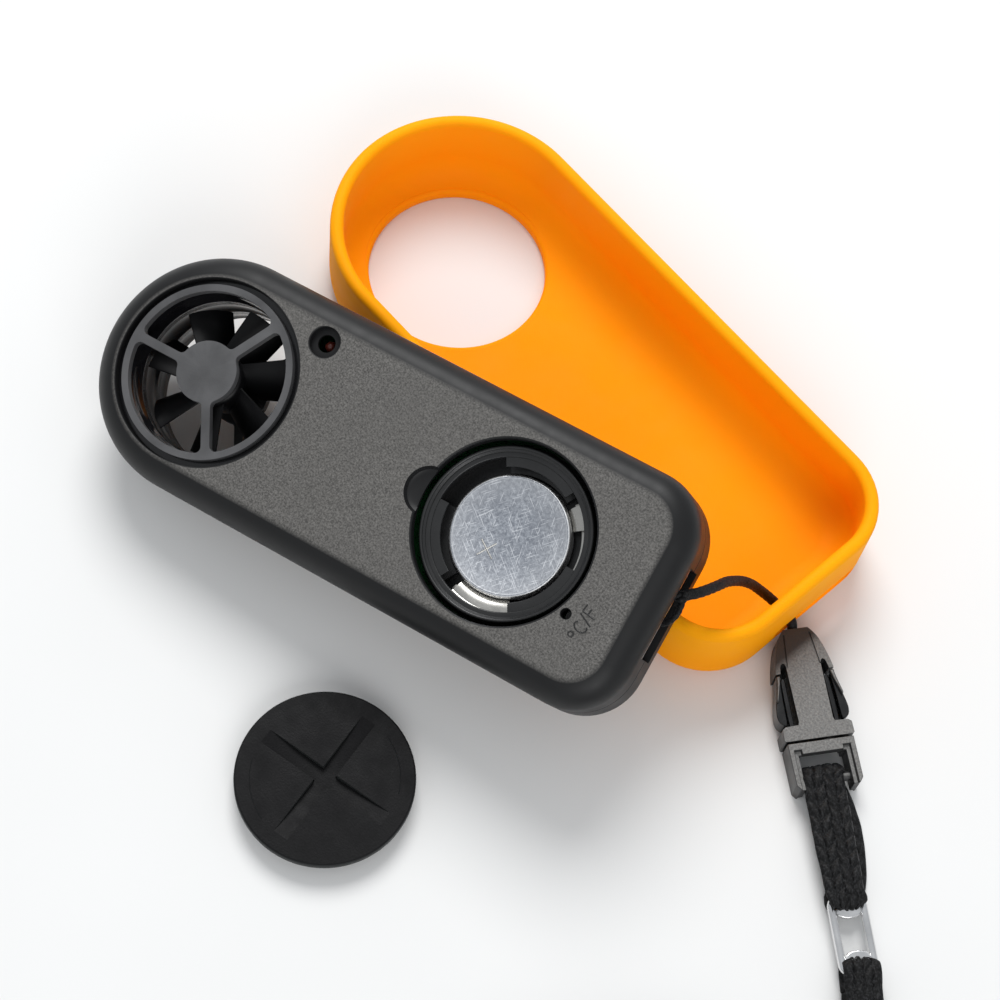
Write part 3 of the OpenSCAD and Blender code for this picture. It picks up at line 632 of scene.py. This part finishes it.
def make_plug():
    """The plug: a forked end with a bar for the strap, and a tongue that reaches into the socket."""
    start, end = PLUG_START, PLUG_END
    body = Shape().prism([(start, -5.6), (end - 0.8, -5.6), (end, -5.0), (end, -4.0), (start + 2, -4.0),
                          (start + 2, 4.0), (end, 4.0), (end, 5.0), (end - 0.8, 5.6), (start, 5.6)], 0, BUCKLE_T)
    cuts = [Shape().block((start + 0.9, -3.6, -1), (start + 2.1, 3.6, BUCKLE_T - 1.6))]
    for s in (1, -1):
        cuts += sunk([(start + 1.2, s * 4.75), (end + 1, s * 4.75), (end + 1, s * 3.5), (start + 1.2, s * 3.5)], 0.7)
    bar = tube(Shape(), [Vector((PLUG_BAR_X, y, STRAP_BAR_Z)) for y in (-4.6, -2, 0, 2, 4.6)], 0.8, 24)
    tongue = Shape().prism([(7, -0.6), (7.6, -1), (start + 0.3, -1), (start + 0.3, 1), (7.6, 1), (7, 0.6)],
                           1.4, BUCKLE_T - 1.4)
    return [piece("plug", body, BUCKLE, "buckle", "lanyard", "buckle_plug", cuts, bevel=0.28, sharp=40),
            piece("plug_bar", bar, BUCKLE, "buckle", "lanyard", sharp=60),
            piece("plug_tongue", tongue, BUCKLE, "latch", "lanyard", bevel=0.2)]


def make_latch(hand, side):
    """An arm: a thumb pad that bulges out of the window, a thin leaf beside it and a rail on top in the buckle's
    material, grey on its upper face partly from painted light.
    """
    pad = smooth_flat([(8.0, 4.9), (9.5, 5.15), (11.5, 5.6), (13.3, 5.98), (14.7, 6.12), (15.75, 5.85), (16.35, 5.15)])
    pad += [(16.4, 4.75), (15.6, 4.6), (12, 4.5), (9, 4.3), (8.1, 4.3)]
    leaf = [(7.9, 3.45), (8.4, 3.3), (12.5, 3.35), (16.0, 3.4), (19.8, 3.3), (19.8, 4.5), (16.9, 4.5), (16.2, 4.25),
            (14.8, 4.3), (12, 4.25), (9, 4.15), (8.1, 4.0)]
    rail = [(7.85, 4.96)] + [p for p in pad if 8.0 < p[0] < 12.4 and p[1] > 4.85]
    rail += [(12.4, rail[-1][1] - 0.25), (9.5, 4.55), (7.85, 4.2)]
    shape = Shape()
    for outline, low, high, kind in ((pad, 0.75, 0.75, 0), (leaf, 1.3, 1.3, 0), (rail, BUCKLE_T - 1.2, 0.12, 1)):
        shape.prism([(x, side * y) for x, y in outline][::-side], low, BUCKLE_T - high, kind)
    return piece(hand + "_latch", shape, BUCKLE, "latch buckle", hand + "_latch", hand + "_latch_arm",
                 bevel=0.3, sharp=42)


# ---- straps and link
LINK_LEG_Y, GATHERED_W = 2.6, 3.7
TURN_R = 1.0 + STRAP_T / 2


def turned(z):
    """Goes from 0 on the bar's level to 1 where a strap that turns round the bar lies flat again."""
    return smooth_step((abs(z) - 0.75) / 0.6)


def turn_line(x, y, start, end, steps):
    """The middle of a strap that turns round a bar."""
    return [Vector((x + TURN_R * math.cos(a), y, TURN_R * math.sin(a)))
            for a in [math.radians(start + (end - start) * i / steps) for i in range(1, steps)]]


def make_short_strap():
    """One braided band folded round the plug's bar and the link's bar, gathered between the link's legs."""
    rows, end_w = 160, 6.3
    upper, lower = [], []
    for i in range(rows + 1):
        x = STRAP_LEN * i / rows
        bow = math.sin(math.pi * x / STRAP_LEN)
        upper.append(Vector((x, -0.3, TURN_R - 0.315 * bow)))
        lower.append(Vector((x, 1.9 * max(0.0, bow) ** 0.7, 0.175 * bow - TURN_R)))
    line = upper + turn_line(STRAP_LEN, 0, 90, -90, 24) + lower[::-1] + turn_line(0, 0.1, 270, 90, 24)
    widths = []
    for p in line:
        free = STRAP_W + (end_w - STRAP_W) * max(0.0, min(1.0, p.x / STRAP_LEN)) ** 2
        near = max(0.0, min(1.0, (p.x - STRAP_LEN + 0.4) / 1.2))
        widths.append(free + (GATHERED_W - free) * near * (1 - turned(p.z)))
    rings = strap_rings(line, widths)
    return piece("braided_strap", Shape().loft(rings + rings[:1], caps=False), STRAP, "nylon", "lanyard",
                 "short_strap", sharp=75)


def make_link():
    """A loop of steel wire, with a thin bowed lip just past each strap's end."""
    bend, corner_steps, x0, x1 = 1.4, 8, STRAP_LEN, STRAP_LEN + LINK_LEN
    loop = rounded_rectangle(x0, x1, -LINK_LEG_Y, LINK_LEG_Y, bend, 0, corner_steps)[::-1]
    half = len(loop) // 2
    wire = tube(Shape(), [Vector((*p, 0)) for p in loop[half:] + loop[:half]], LINK_WIRE_R, 28, closed=True)
    made = [piece("wire_link", wire, STRAP, "link", "lanyard", "strap_link", sharp=60)]
    for name, foot, way in (("near", x0 + 2.1, 1), ("far", x1 - 2.0, -1)):
        outline = [(foot + way * (0.25 + 1.15 * math.sqrt(1 - u * u)), 2.0 * u)
                   for u in [k / 14 - 1 for k in range(29)]]
        outline += [(foot - way * 0.5, 2.0), (foot - way * 0.5, -2.0)]
        made.append(piece("link_lip_" + name, Shape().prism(outline[::way], -0.1, 0.7), STRAP, "link", "lanyard",
                          bevel=0.3, sharp=60))
    return made


def make_neck_fold():
    """The neck strap's turn round the link's far bar, with a row of stitches behind it."""
    width, upper = 6.2, []
    for x in [3 - 0.125 * k for k in range(24)]:
        upper.append(Vector((x, 0, TURN_R - 0.03 * x - 0.35 * smooth_step((x - 1.6) / 1.4))))
    line = upper + turn_line(0, 0, 88, 272, 30) + [Vector((p.x, 0, -p.z)) for p in upper[::-1]]
    widths = [width + (GATHERED_W - width) * (1 - turned(p.z)) * (p.x < 1) for p in line]
    fold = piece("neck_strap_fold", Shape().loft(strap_rings(line, widths)), NECK, "nylon", "lanyard",
                 "neck_strap_cuff", sharp=75)
    stitches = Shape()
    for y in range(6):
        for s in (1, -1):
            tube(stitches, [Vector((9.0 + 1.3 * u, y - 2.5 + 0.55 * u, s * (1.72 + 0.14 * math.sin(math.pi * u))))
                            for u in [i / 6 for i in range(7)]], 0.17, 8)
    return [fold, piece("neck_strap_stitches", stitches, NECK, "tie", "lanyard", sharp=60)]


# The middle line between the neck strap's two legs, up to the coil, and its edgewise turn
NECK_ROUTE = [(112.7, -41.1, 2.4), (116.1, -43.8, 2.7), (119.5, -46.6, 3.1), (122.9, -49.4, 3.5),
              (126.3, -52.2, 3.7), (129.7, -55.1, 3.8), (138.6, -61.4, 3.9)]
NECK_STEP, LEG_GAP = 0.36, 0.86
COIL_START, COIL_SWEEP, COIL_FIRST_R, COIL_STEP, COIL_Z = 50.0, 569.0, 40.05, 3.5, 3.6
TIE_ANGLE = 215.0
INNER_TURN, INNER_R = 125.0, 17.0
BIGHT = [(0, LEG_GAP), (5, 1.9), (10.5, 5.4), (16, 9.2), (21, 12.1), (28, 14), (35, 12.1), (40.1, 7)]
BIGHT_TIP = 42.0


def coil_height(angle):
    """The turns rise a little where the tie passes under them."""
    off = (angle - TIE_ANGLE + 180) % 360 - 180
    return COIL_Z + 0.6 * math.exp(-(off / 14) ** 2)


def neck_lines():
    """Centre lines and width directions of the two legs, from the link to the bight's tip."""
    start = [NECK @ Vector((x, 0, 0)) for x in (0.4, 2.5, 5, 8)]
    centre = Vector((*COIL_AT, 0))
    end_angle, end_r = COIL_START - COIL_SWEEP, COIL_FIRST_R - COIL_STEP * COIL_SWEEP / 360
    turns = []
    for t in [i / 119 for i in range(1, 120)]:
        angle = COIL_START - COIL_SWEEP * t
        turns.append(centre + Vector((*polar(COIL_FIRST_R + (end_r - COIL_FIRST_R) * t, angle), coil_height(angle))))
    coil_end = Matrix.Rotation(math.radians(end_angle), 4, "Z")
    inner = [centre + coil_end @ Vector((x, y, COIL_Z))
             for x, y in arc((end_r - INNER_R, 0), INNER_R, 0, -INNER_TURN, 8)[1:]]
    middle = smooth_route([*start, *NECK_ROUTE, *turns, *inner], NECK_STEP)
    legs = [], []
    for p, h, along in zip(middle, headings(middle), distances(middle)):
        tilt = math.radians(90 * smooth_step((along - 11) / 20))
        level = UP.cross(h).normalized()
        rise = h.cross(level)
        broad = level * math.cos(tilt) + rise * math.sin(tilt)
        aside = (rise * math.cos(tilt) - level * math.sin(tilt)) * (
            LEG_GAP + 0.84 * (1 - smooth_step(along / 8.5)))
        legs[0].append((p + aside, broad))
        legs[1].append((p - aside, broad))
    last, h = middle[-1], (middle[-1] - middle[-2]).normalized()
    level = UP.cross(h).normalized()
    round_end = BIGHT + [(BIGHT_TIP, 0)] + [(x, -y) for x, y in BIGHT[::-1]]
    bight = smooth_route([last + h * x + level * y for x, y in round_end], NECK_STEP)
    half = len(bight) // 2
    legs[1].extend((p, UP) for p in bight[1:half + 1])
    legs[0].extend((p, UP) for p in bight[half:-1][::-1])
    return legs


def make_neck_strap(extras):
    for side, leg, node in zip(("inner", "outer"), neck_lines(), ("neck_strap", "neck_strap_coil")):
        line, broad = zip(*leg)
        widths = [5.8 + (STRAP_W - 5.8) * smooth_step(along / 11) for along in distances(line)]
        strap = piece(f"neck_strap_{side}_leg", Shape().loft(strap_rings(line, widths, broad, steps=20)), WORLD,
                      "nylon", "lanyard", node, sharp=75)


def make_tie():
    """A soft band once round the coil's strands, its tail laid back over its start."""
    x0, x1, z0, z1, bend = 32.6, 40.3, 0.35, 8.05, 1.2
    band = [(36.0, z0)] + rounded_rectangle(x0, x1, z0, z1, bend) + [(36.0, z0), (37.5, z0)]
    tail = [(x0 - 0.35, 3.0), (x0 - 0.4, 5.5), (x0 + 0.1, 7.7), (x0 + 1.2, 8.3), (35.5, 8.36), (38.2, 8.3)]
    place = Matrix.Translation((*COIL_AT, 0)) @ Matrix.Rotation(math.radians(TIE_ANGLE), 4, "Z")
    made = []
    for name, node, line, width, thick, lift in (("coil_band", "coil_tie", band, 5.0, 0.55, 0.1),
                                                 ("coil_band_tail", None, tail, 4.6, 0.3, 0.06)):
        path = smooth_route([(x, 0, z) for x, z in line], 0.5)
        rings = strap_rings(path, [width] * len(path), None, thick, 9, 6, 0.8, lift)
        made.append(piece(name, Shape().loft(rings), place, "tie", "lanyard", node, sharp=75))
    return made


def make_hitch():
    """The cord's loop round the bar in the recess, with its knot and melted end; the bar is at x = z = 0."""
    loop = smooth_route([(1.9, 5.2, 0.5), (2.25, 3.6, 0.4), (2.3, 1.9, 0.1), (1.7, 0.4, -0.5), (0.75, -0.4, -1.14),
                         (-0.5, -0.6, -1.25), (-1.27, -0.1, -0.4), (-1.22, 0.9, 0.5), (-0.6, 2.2, 1.2),
                         (0.5, 3.8, 1.3), (1.5, 4.9, 0.9)], 0.25)
    shape = tube(Shape(), loop, cord_twist(0.55), 16)
    for x, y, r in ((1.55, 4.15, 0.95), (1.6, 5.1, 0.95)):
        wrap = [Vector((x + 0.45 * math.sin(a) + 0.55 * math.cos(a), y + 0.2 * math.cos(a), r * math.sin(a)))
                for a in [2 * math.pi * k / 32 for k in range(32)]]
        tube(shape, wrap, cord_twist(0.52), 14, closed=True)
    nub = smooth_route([(1.2, 3.6, -0.3), (2.1, 3.5, -0.2), (2.35, 3.35, 0)], 0.25)
    tips = {len(nub) - 2: 0.75, len(nub) - 1: 0.45}
    tube(shape, nub, lambda i, a: 0.72 * tips.get(i, 1), 16)
    return piece("cord_hitch", shape, on_casing(BAR_X, 0, BAR_Z), "cord", "lanyard", sharp=70)


def cord_twist(radius):
    return lambda i, a: radius * (0.93 + 0.07 * math.sin(i * 1.7))


buckle_pieces = [make_socket(), *make_plug(), make_latch("left", 1), make_latch("right", -1), make_short_strap()]
link_pieces = make_link()
make_cord([*buckle_pieces, make_hitch()])
make_neck_strap([*link_pieces, *make_neck_fold(), *make_tie()])


# ---- casing
def outline_ring(r, x_end, corner, inset, z):
    """A round-ended outline with two rounded corners, moved in by inset, at one height."""
    flat = (arc((x_end - corner, corner - r), corner - inset, -90, 0, 14)
            + arc((x_end - corner, r - corner), corner - inset, 0, 90, 14) + arc((0, 0), r - inset, 90, 270, 72))
    return [(x, y, z) for x, y in flat]


def shell_shape(edge_r, front):
    """Half of the casing: its open side at the split, its flat face at z = 0 or at the front."""
    depth, groove = CASING_T + SPLIT_Z if front else -SPLIT_Z, 0.16
    wall = (arc((edge_r, -edge_r), edge_r - SHELL_T, 90, 180, 8)
            + [(SHELL_T, -depth), (groove, -depth), (0, groove - depth)]
            + arc((edge_r, -edge_r), edge_r, 180, 90, 16))
    return Shape().loft([outline_ring(FAN_END_R, CASING_END, END_CORNER_R, inset, -CASING_T - z if front else z)
                         for inset, z in wall])


def hole(r, z_low, lip=0.35, steps=96):
    """A round cutter that leaves a rounded edge at z = 0."""
    return Shape().lathe([(0, z_low), (r, z_low)] + arc((r + lip, -lip), lip, 180, 92, 5)
                         + [(r + lip, 0.4), (r + lip, 4), (0, 4)], steps)


def recess():
    return Shape().block((CASING_END - NOTCH_DEPTH, NOTCH_Y[0], NOTCH_Z[0]), (CASING_END + 3, NOTCH_Y[1], NOTCH_Z[1]))


def make_shells():
    thumb = Shape().lathe([(0, -1.15), (3.1, -1.1), (3.75, -0.75), (4.05, -0.2), (4.2, 0.1), (4.4, 4), (0, 4)], 64)
    cuts = [hole(FAN_PORT_R, -12), (hole(WELL_R - 0.05, -12), WELL), (thumb, on_casing(*THUMB_NOTCH)),
            (hole(2.55, -1.25, 0.25, 48), on_casing(*VENT)), (hole(1.5, -5, 0.1, 32), on_casing(*VENT, -0.6)),
            (hole(0.85, -5, 0.12, 32), on_casing(*PIN_HOLE)), recess()]
    piece("back_shell", shell_shape(BACK_EDGE_R, False), CASING, "back_shell", "casing", "rear_casing", cuts, sharp=32)
    window = Shape().loft([[(x, y, z) for x, y in rounded_rectangle(24, 62, -13.5, 13.5, 1.5, grow)]
                           for grow, z in ((0, -14), (0, -17.6), (0.4, -18), (0.4, -20))])
    button = Shape().lathe([(0, -20), (4.1, -20), (4.1, -18), (3.8, -17.7), (3.8, -14), (0, -14)], 48)
    port = Shape().lathe([(0, -22), (16.2, -22), (16.2, -18), (FAN_PORT_R, -17.6), (FAN_PORT_R, -5), (0, -5)])
    cuts = [port, window, recess()] + [(button, on_casing(73.5, y)) for y in (-7.5, 7.5)]
    piece("front_shell", shell_shape(FRONT_EDGE_R, True), CASING, "front_shell", "casing", "front_casing", cuts,
          sharp=32)


def make_recess_liner():
    """The pocket behind the lanyard recess, closed on five sides."""
    block = Shape().block((80.4, -8.2, -13.4), (83.6, 10.2, -4.6))
    piece("recess_liner", block, CASING, "holder", "casing", None, [recess()], bevel=0.15)


def make_unit_mark():
    """The two temperature units beside the pin hole, as fine raised strokes."""
    tall, shape = 2.3, Shape()
    letter_c = [(1.75 + 0.75 * x, 1.1 + 1.1 * y) for x, y in arc((0, 0), 1, 50, 310, 18)]
    for stroke in (arc((0, 1.7), 0.42, 0, 360, 16), letter_c, [(2.65, -0.1), (3.5, 2.4)], [(3.95, 0.0), (3.95, tall)],
                   [(3.95, tall), (5.2, tall)], [(3.95, tall * 0.55), (4.95, tall * 0.55)]):
        tube(shape, [Vector((x, y, 0.02)) for x, y in stroke], 0.11, 8)
    piece("unit_mark", shape, CASING @ pose((0, 0, 82), (76.4, -9.2, 0)), "holder", "casing", sharp=60)


# ---- fan module
def grille_plan():
    """Outlines of the three openings between the spokes, with rounded corners."""
    fillet, openings = 1.0, []
    for low in (60, 180, 300):
        points, high = [], low + 120
        for r, edge, sign in ((DUCT_R, low, 1), (DUCT_R, high, -1), (HUB_DISC_R, high, -1), (HUB_DISC_R, low, 1)):
            outer = r == DUCT_R
            bend = r - fillet if outer else r + fillet
            off = math.degrees(math.asin((SPOKE_W / 2 + fillet) / bend))
            at = edge + sign * off
            radial, side = at + (0 if outer else 180), edge - sign * 90
            leads = outer == (sign > 0)
            first, last = (side, radial) if leads else (radial, side)
            turn = (last - first + 180) % 360 - 180
            points += arc(polar(bend, at), fillet, first, first + turn, 7)
            if leads:
                sweep = 120 - 2 * off
                points += arc((0, 0), r, at, at + (sweep if outer else -sweep), 24)[1:-1]
        openings.append(points)
    return openings


def make_grille(side, z_low, z_high, boss_low, boss_high):
    disc = Shape().lathe([(0, z_low), (GRILLE_R, z_low), (GRILLE_R, z_high), (0, z_high)], 120)
    cuts = [Shape().prism(points, z_low - 2, z_high + 2) for points in grille_plan()]
    piece(side + "_grille_disc", disc, CASING, "module", "casing", side + "_grille", cuts, bevel=0.22, sharp=40)
    boss = Shape().lathe([(1.6, boss_low), (2.4, boss_low), (2.4, boss_high), (1.6, boss_high)], 40)
    piece(side + "_grille_disc_boss", boss, CASING, "module", "casing", bevel=0.12)


def make_duct():
    r = DUCT_R
    wall = [(r, -16.4), (FAN_PORT_R - 0.05, -16.4), (FAN_PORT_R - 0.05, -1.65), (r + 0.35, -1.65), (r + 0.05, -2.6),
            (r, -3.0), (r, -5.4), (r - 0.25, -5.7), (r - 0.25, -6.3), (r, -6.6), (r, -12.4), (r - 0.2, -12.7),
            (r - 0.2, -13.2), (r, -13.5)]
    piece("air_duct", Shape().lathe(wall, 120), CASING, "duct", "casing", "fan_duct", sharp=50)


def make_impeller():
    """Seven twisted blades on a domed hub."""
    shape = Shape().lathe([(0.6, -11.6), (4.3, -11.6), (4.6, -11.3), (4.6, -5.1), (4.2, -4.6), (3.4, -4.4),
                           (0.6, -4.4)], 64)
    root, tip, middle_z, across, along = 4.3, BLADE_TIP_R - 0.35, -8, 10, 12
    for blade in range(BLADE_COUNT):
        turn = math.radians(27.7 + 360 * blade / BLADE_COUNT)
        rings = []
        for t in [i / along for i in range(along + 1)]:
            r, pitch = root + (tip - root) * t, math.radians(50 - 14 * t)
            chord, thick = 7.0 + 0.8 * t, 0.75 - 0.2 * t
            ring = []
            for side in (1, -1):
                for u in [(k / across * 2 - 1) * side for k in range(across + 1)]:
                    y = u * chord / 2
                    z = 0.5 * (1 - u * u) + side * thick / 2 * max(0.12, 1 - abs(u) ** 4) ** 0.5
                    y, z = y * math.cos(pitch) - z * math.sin(pitch), y * math.sin(pitch) + z * math.cos(pitch)
                    x = math.sqrt(r * r - y * y) if r > abs(y) else r
                    ring.append((x * math.cos(turn) - y * math.sin(turn), x * math.sin(turn) + y * math.cos(turn),
                                 z + middle_z))
            rings.append(ring)
        shape.loft(rings)
    piece("impeller_wheel", shape, CASING, "impeller", "impeller", "impeller", sharp=50)


def make_vent_bead():
    """The temperature sensor's bead deep in the vent."""
    bead = Shape().lathe(arc((0, -3.6), 1.0, -90, 90, 12) + [(0, -3.6)], 32)
    piece("sensor_bead", bead, on_casing(*VENT), "bead", "casing", sharp=70)


# ---- battery
STEP_TOP, LEDGE_LOW, LEDGE_HIGH, WELL_FLOOR = -2.4, -3.2, -2.6, -7.8
HOLDER_IN_R, LEDGE_IN_R = 13.2, 10.9
LEDGE_STARTS, LUG_STARTS = (60, 180, 300), (15, 135, 255)


def rounded_lathe(shape, r_in, r_out, z_low, z_high, edge, steps, start, sweep):
    """Adds a part of a ring with rounded edges."""
    shape.lathe(rounded_rectangle(r_in, r_out, z_low, z_high, edge, 0, 4), steps, start, sweep)


def make_holder():
    out = WELL_R - 0.3
    wall = ([(0, WELL_FLOOR - 1), (out, WELL_FLOOR - 1), (out, -4.4), (14.15, -3.9), (14.15, -1.85)]
            + arc((13.85, -1.9), 0.3, 0, 180, 8) + [(HOLDER_IN_R, -2.2), (HOLDER_IN_R, STEP_TOP)]
            + arc((12.6, STEP_TOP - 0.2), 0.2, 90, 180, 4)
            + [(12.4, LEDGE_LOW), (HOLDER_IN_R, LEDGE_LOW), (HOLDER_IN_R, WELL_FLOOR), (0, WELL_FLOOR)])
    shape = Shape().lathe(wall, 120, 25)
    for start in LEDGE_STARTS:
        rounded_lathe(shape, LEDGE_IN_R, HOLDER_IN_R + 0.5, LEDGE_LOW, LEDGE_HIGH, 0.14, 28, start, 60)
        rounded_lathe(shape, COIN_R + 0.25, HOLDER_IN_R + 0.5, -8.2, -6.2, 0.2, 28, start, 60)
    piece("battery_cup", shape, WELL, "holder", "casing", "battery_holder", sharp=35)


def make_contact():
    """The positive contact: a strip with two sprung tabs that lean on the cell's edge."""
    thick = 0.22
    shape = Shape().lathe([(11.5, -5.7), (12.3, -5.7), (12.3, -5.45), (11.5, -5.45)], 60, 249, 165)
    tab = [(COIN_R + 0.12, -5.45), (10.7, -4.95), (11.5, -4.75), (12.3, -4.75), (12.85, -4.4), (12.95, -3.8)]
    for start, sweep in ((251, 48), (32, 20)):
        shape.lathe(tab + [(r - 0.02, z - thick) for r, z in tab[::-1]], 24, start, sweep)
    piece("sprung_contact", shape, WELL, "contact", "casing", "positive_contact", bevel=0.05, sharp=40)


def make_coin():
    """The cell, with a plus sign as two shallow strokes."""
    top, low = -COIN_DEPTH, -COIN_DEPTH - COIN_T
    can = ([(0, low), (8.5, low), (8.7, low + 0.15), (8.8, low + 0.45), (9.25, low + 0.5), (9.3, low + 0.7),
            (9.75, low + 0.6)] + arc((9.85, low + 0.75), 0.15, -90, 0, 3) + arc((9.5, top - 0.5), 0.5, 0, 90, 10)
           + [(9.36, top - 0.02), (9.2, top - 0.06), (0, top - 0.06)])
    shape, plus, half_stroke = Shape().lathe(can, 128), Vector((-2.2, -3.5, top - 0.09)), 1.8
    for angle in (56, -34):
        along = Vector((*polar(half_stroke, angle), 0))
        tube(shape, [plus - along, plus + along], 0.15, 8, look=1)
    piece("cell", shape, WELL, "cell contact", "coin_cell", "coin_cell", sharp=30)


def make_cover():
    """The loose cover: a disc with a cross of coin slots and two fine arcs, and its lugged skirt."""
    top, base = COVER_SKIRT_H + COVER_DISC_T, COVER_SKIRT_H
    rim = ([(0, base), (COVER_R - 0.3, base)] + arc((COVER_R - 0.2, base + 0.2), 0.2, -90, 0, 6)
           + arc((COVER_R - 0.35, top - 0.35), 0.35, 0, 90, 14) + [(0, top)])
    wheel_r, half_w, depth = 62.0, 1.3, 1.15
    wheel = Shape().lathe([(0, -half_w), (wheel_r, -half_w), (wheel_r, half_w), (0, half_w)], 720)
    cuts = [(wheel, COVER @ pose((0, 0, a), (0, 0, top - depth + wheel_r)) @ pose((90, 0, 0), (0, 0, 0)))
            for a in (14, 104)]
    piece("cover_disc", Shape().lathe(rim, 144), COVER, "cover", "battery_cover", "battery_cover", cuts, sharp=8)
    skirt = Shape().lathe([(9.6, 0), (LEDGE_IN_R - 0.2, 0), (LEDGE_IN_R - 0.2, 1.8), (11.9, 1.8),
                           (11.9, base + 0.2), (9.6, base + 0.2)])
    for start in LUG_STARTS:
        rounded_lathe(skirt, LEDGE_IN_R - 0.5, 12.2, 0, 0.8, 0.15, 16, start, 30)
    piece("cover_skirt", skirt, COVER, "cover", "battery_cover", sharp=35)
    for name, start, sweep in (("left", 215, 49), ("right", 37, 47)):
        line = [Vector((x, y, top)) for x, y in arc((0, 0), 12.1, start, start + sweep, 40)]
        piece("cover_arc_" + name, tube(Shape(), line, 0.1, 8), COVER, "cover", "battery_cover", sharp=60)


# ---- sleeve
def slack(ring, z):
    """Soft walls wander a little: up to a third of a millimetre at the rim."""
    lift = 0.3 * max(0.0, (z - 5) / 12) ** 1.5
    return [(x, y + lift * math.sin(x * 0.06 + 0.8) * math.copysign(min(1.0, abs(y) / 12), y), z) for x, y, _ in ring]


def make_sleeve():
    """An open tray with a rolled rim, a round fan hole and a slit for the cord."""
    wall_t, base, rim_r, foot_r, fillet_r = SLEEVE_WALL, SLEEVE_BASE, SLEEVE_WALL / 2, 4.0, 5.0
    x_end, corner = 2 * SLEEVE_HALF - SLEEVE_R, END_CORNER_R + SLEEVE_GAP + wall_t
    wall = (arc((foot_r, foot_r), foot_r, 270, 180, 12) + [(0, z) for z in (7, 10, 13)]
            + arc((rim_r, SLEEVE_H - rim_r), rim_r, 180, 0, 14) + [(wall_t, z) for z in (13, 10, 8.5)]
            + arc((wall_t + fillet_r, base + fillet_r), fillet_r, 180, 270, 14))
    rings = [slack(outline_ring(SLEEVE_R, x_end, corner, inset, z), z) for inset, z in wall]
    low_r, high_r = SLEEVE_HOLE_R + 0.5, SLEEVE_HOLE_R + 0.8
    fan_hole = Shape().lathe([(0, -2), (low_r, -2), (low_r, 0)] + arc((low_r, 0.5), 0.5, -90, -180, 4)
                             + arc((high_r, base - 0.8), 0.8, 180, 92, 6)
                             + [(high_r, base + 0.4), (high_r, 5), (0, 5)], 120)
    half, (slit_y, slit_z) = SLIT_H / 2, SLIT_AT
    slot = (arc((slit_y + SLIT_L - half, slit_z + half), half, -90, 90, 8)
            + arc((slit_y + half, slit_z + half), half, 90, 270, 8))
    slit = Shape().loft([[(x, y, z) for y, z in slot] for x in (x_end - wall_t - 5, x_end + 3)])
    piece("silicone_sleeve", Shape().loft(rings), SLEEVE, "silicone", "sleeve", "sleeve", [fan_hole, slit], sharp=35)


for make in (make_shells, make_recess_liner, make_unit_mark, make_duct, make_impeller, make_vent_bead, make_holder,
             make_contact, make_coin, make_cover, make_sleeve):
    make()
make_grille("rear", -1.6, -0.1, -3.4, -1.5)
make_grille("front", -17.9, -16.4, -16.5, -14.6)

# ---- studio
STUDIO_LIGHTS = [
    ("key", (-0.45, 0.35, 0.75), (0.0, -0.03, 0.0), 0.55, 7.0),
    ("fill", (0.75, -0.5, 0.6), (0.02, -0.04, 0.0), 0.7, 4.0),
]


def make_studio():
    """A plain pale floor, two soft disc lights and a pale sky."""
    bpy.ops.mesh.primitive_plane_add(size=8, location=(0, 0, 0))
    floor = bpy.context.object
    floor.name = "floor"
    m = Nodes("pale_floor", (0.78, 0.78, 0.77), 0.75)
    m.colour(m.mix_colours(m.noise(60, 2), (0.76, 0.76, 0.75), (0.8, 0.8, 0.79)))
    floor.data.materials.append(m.material)
    for name, place, aim, size, power in STUDIO_LIGHTS:
        data = bpy.data.lights.new(name, "AREA")
        data.shape, data.size, data.energy = "DISK", size, power
        lamp = bpy.data.objects.new(name, data)
        lamp.location = place
        lamp.rotation_euler = (Vector(aim) - Vector(place)).to_track_quat("-Z", "Y").to_euler()
        bpy.context.collection.objects.link(lamp)
    world = bpy.data.worlds.new("studio_air")
    bpy.context.scene.world = world
    world.use_nodes = True
    sky = world.node_tree.nodes["Background"].inputs
    sky["Color"].default_value, sky["Strength"].default_value = (0.93, 0.96, 1.0, 1), 0.55
    bpy.context.scene.view_settings.view_transform = "Standard"


make_studio()
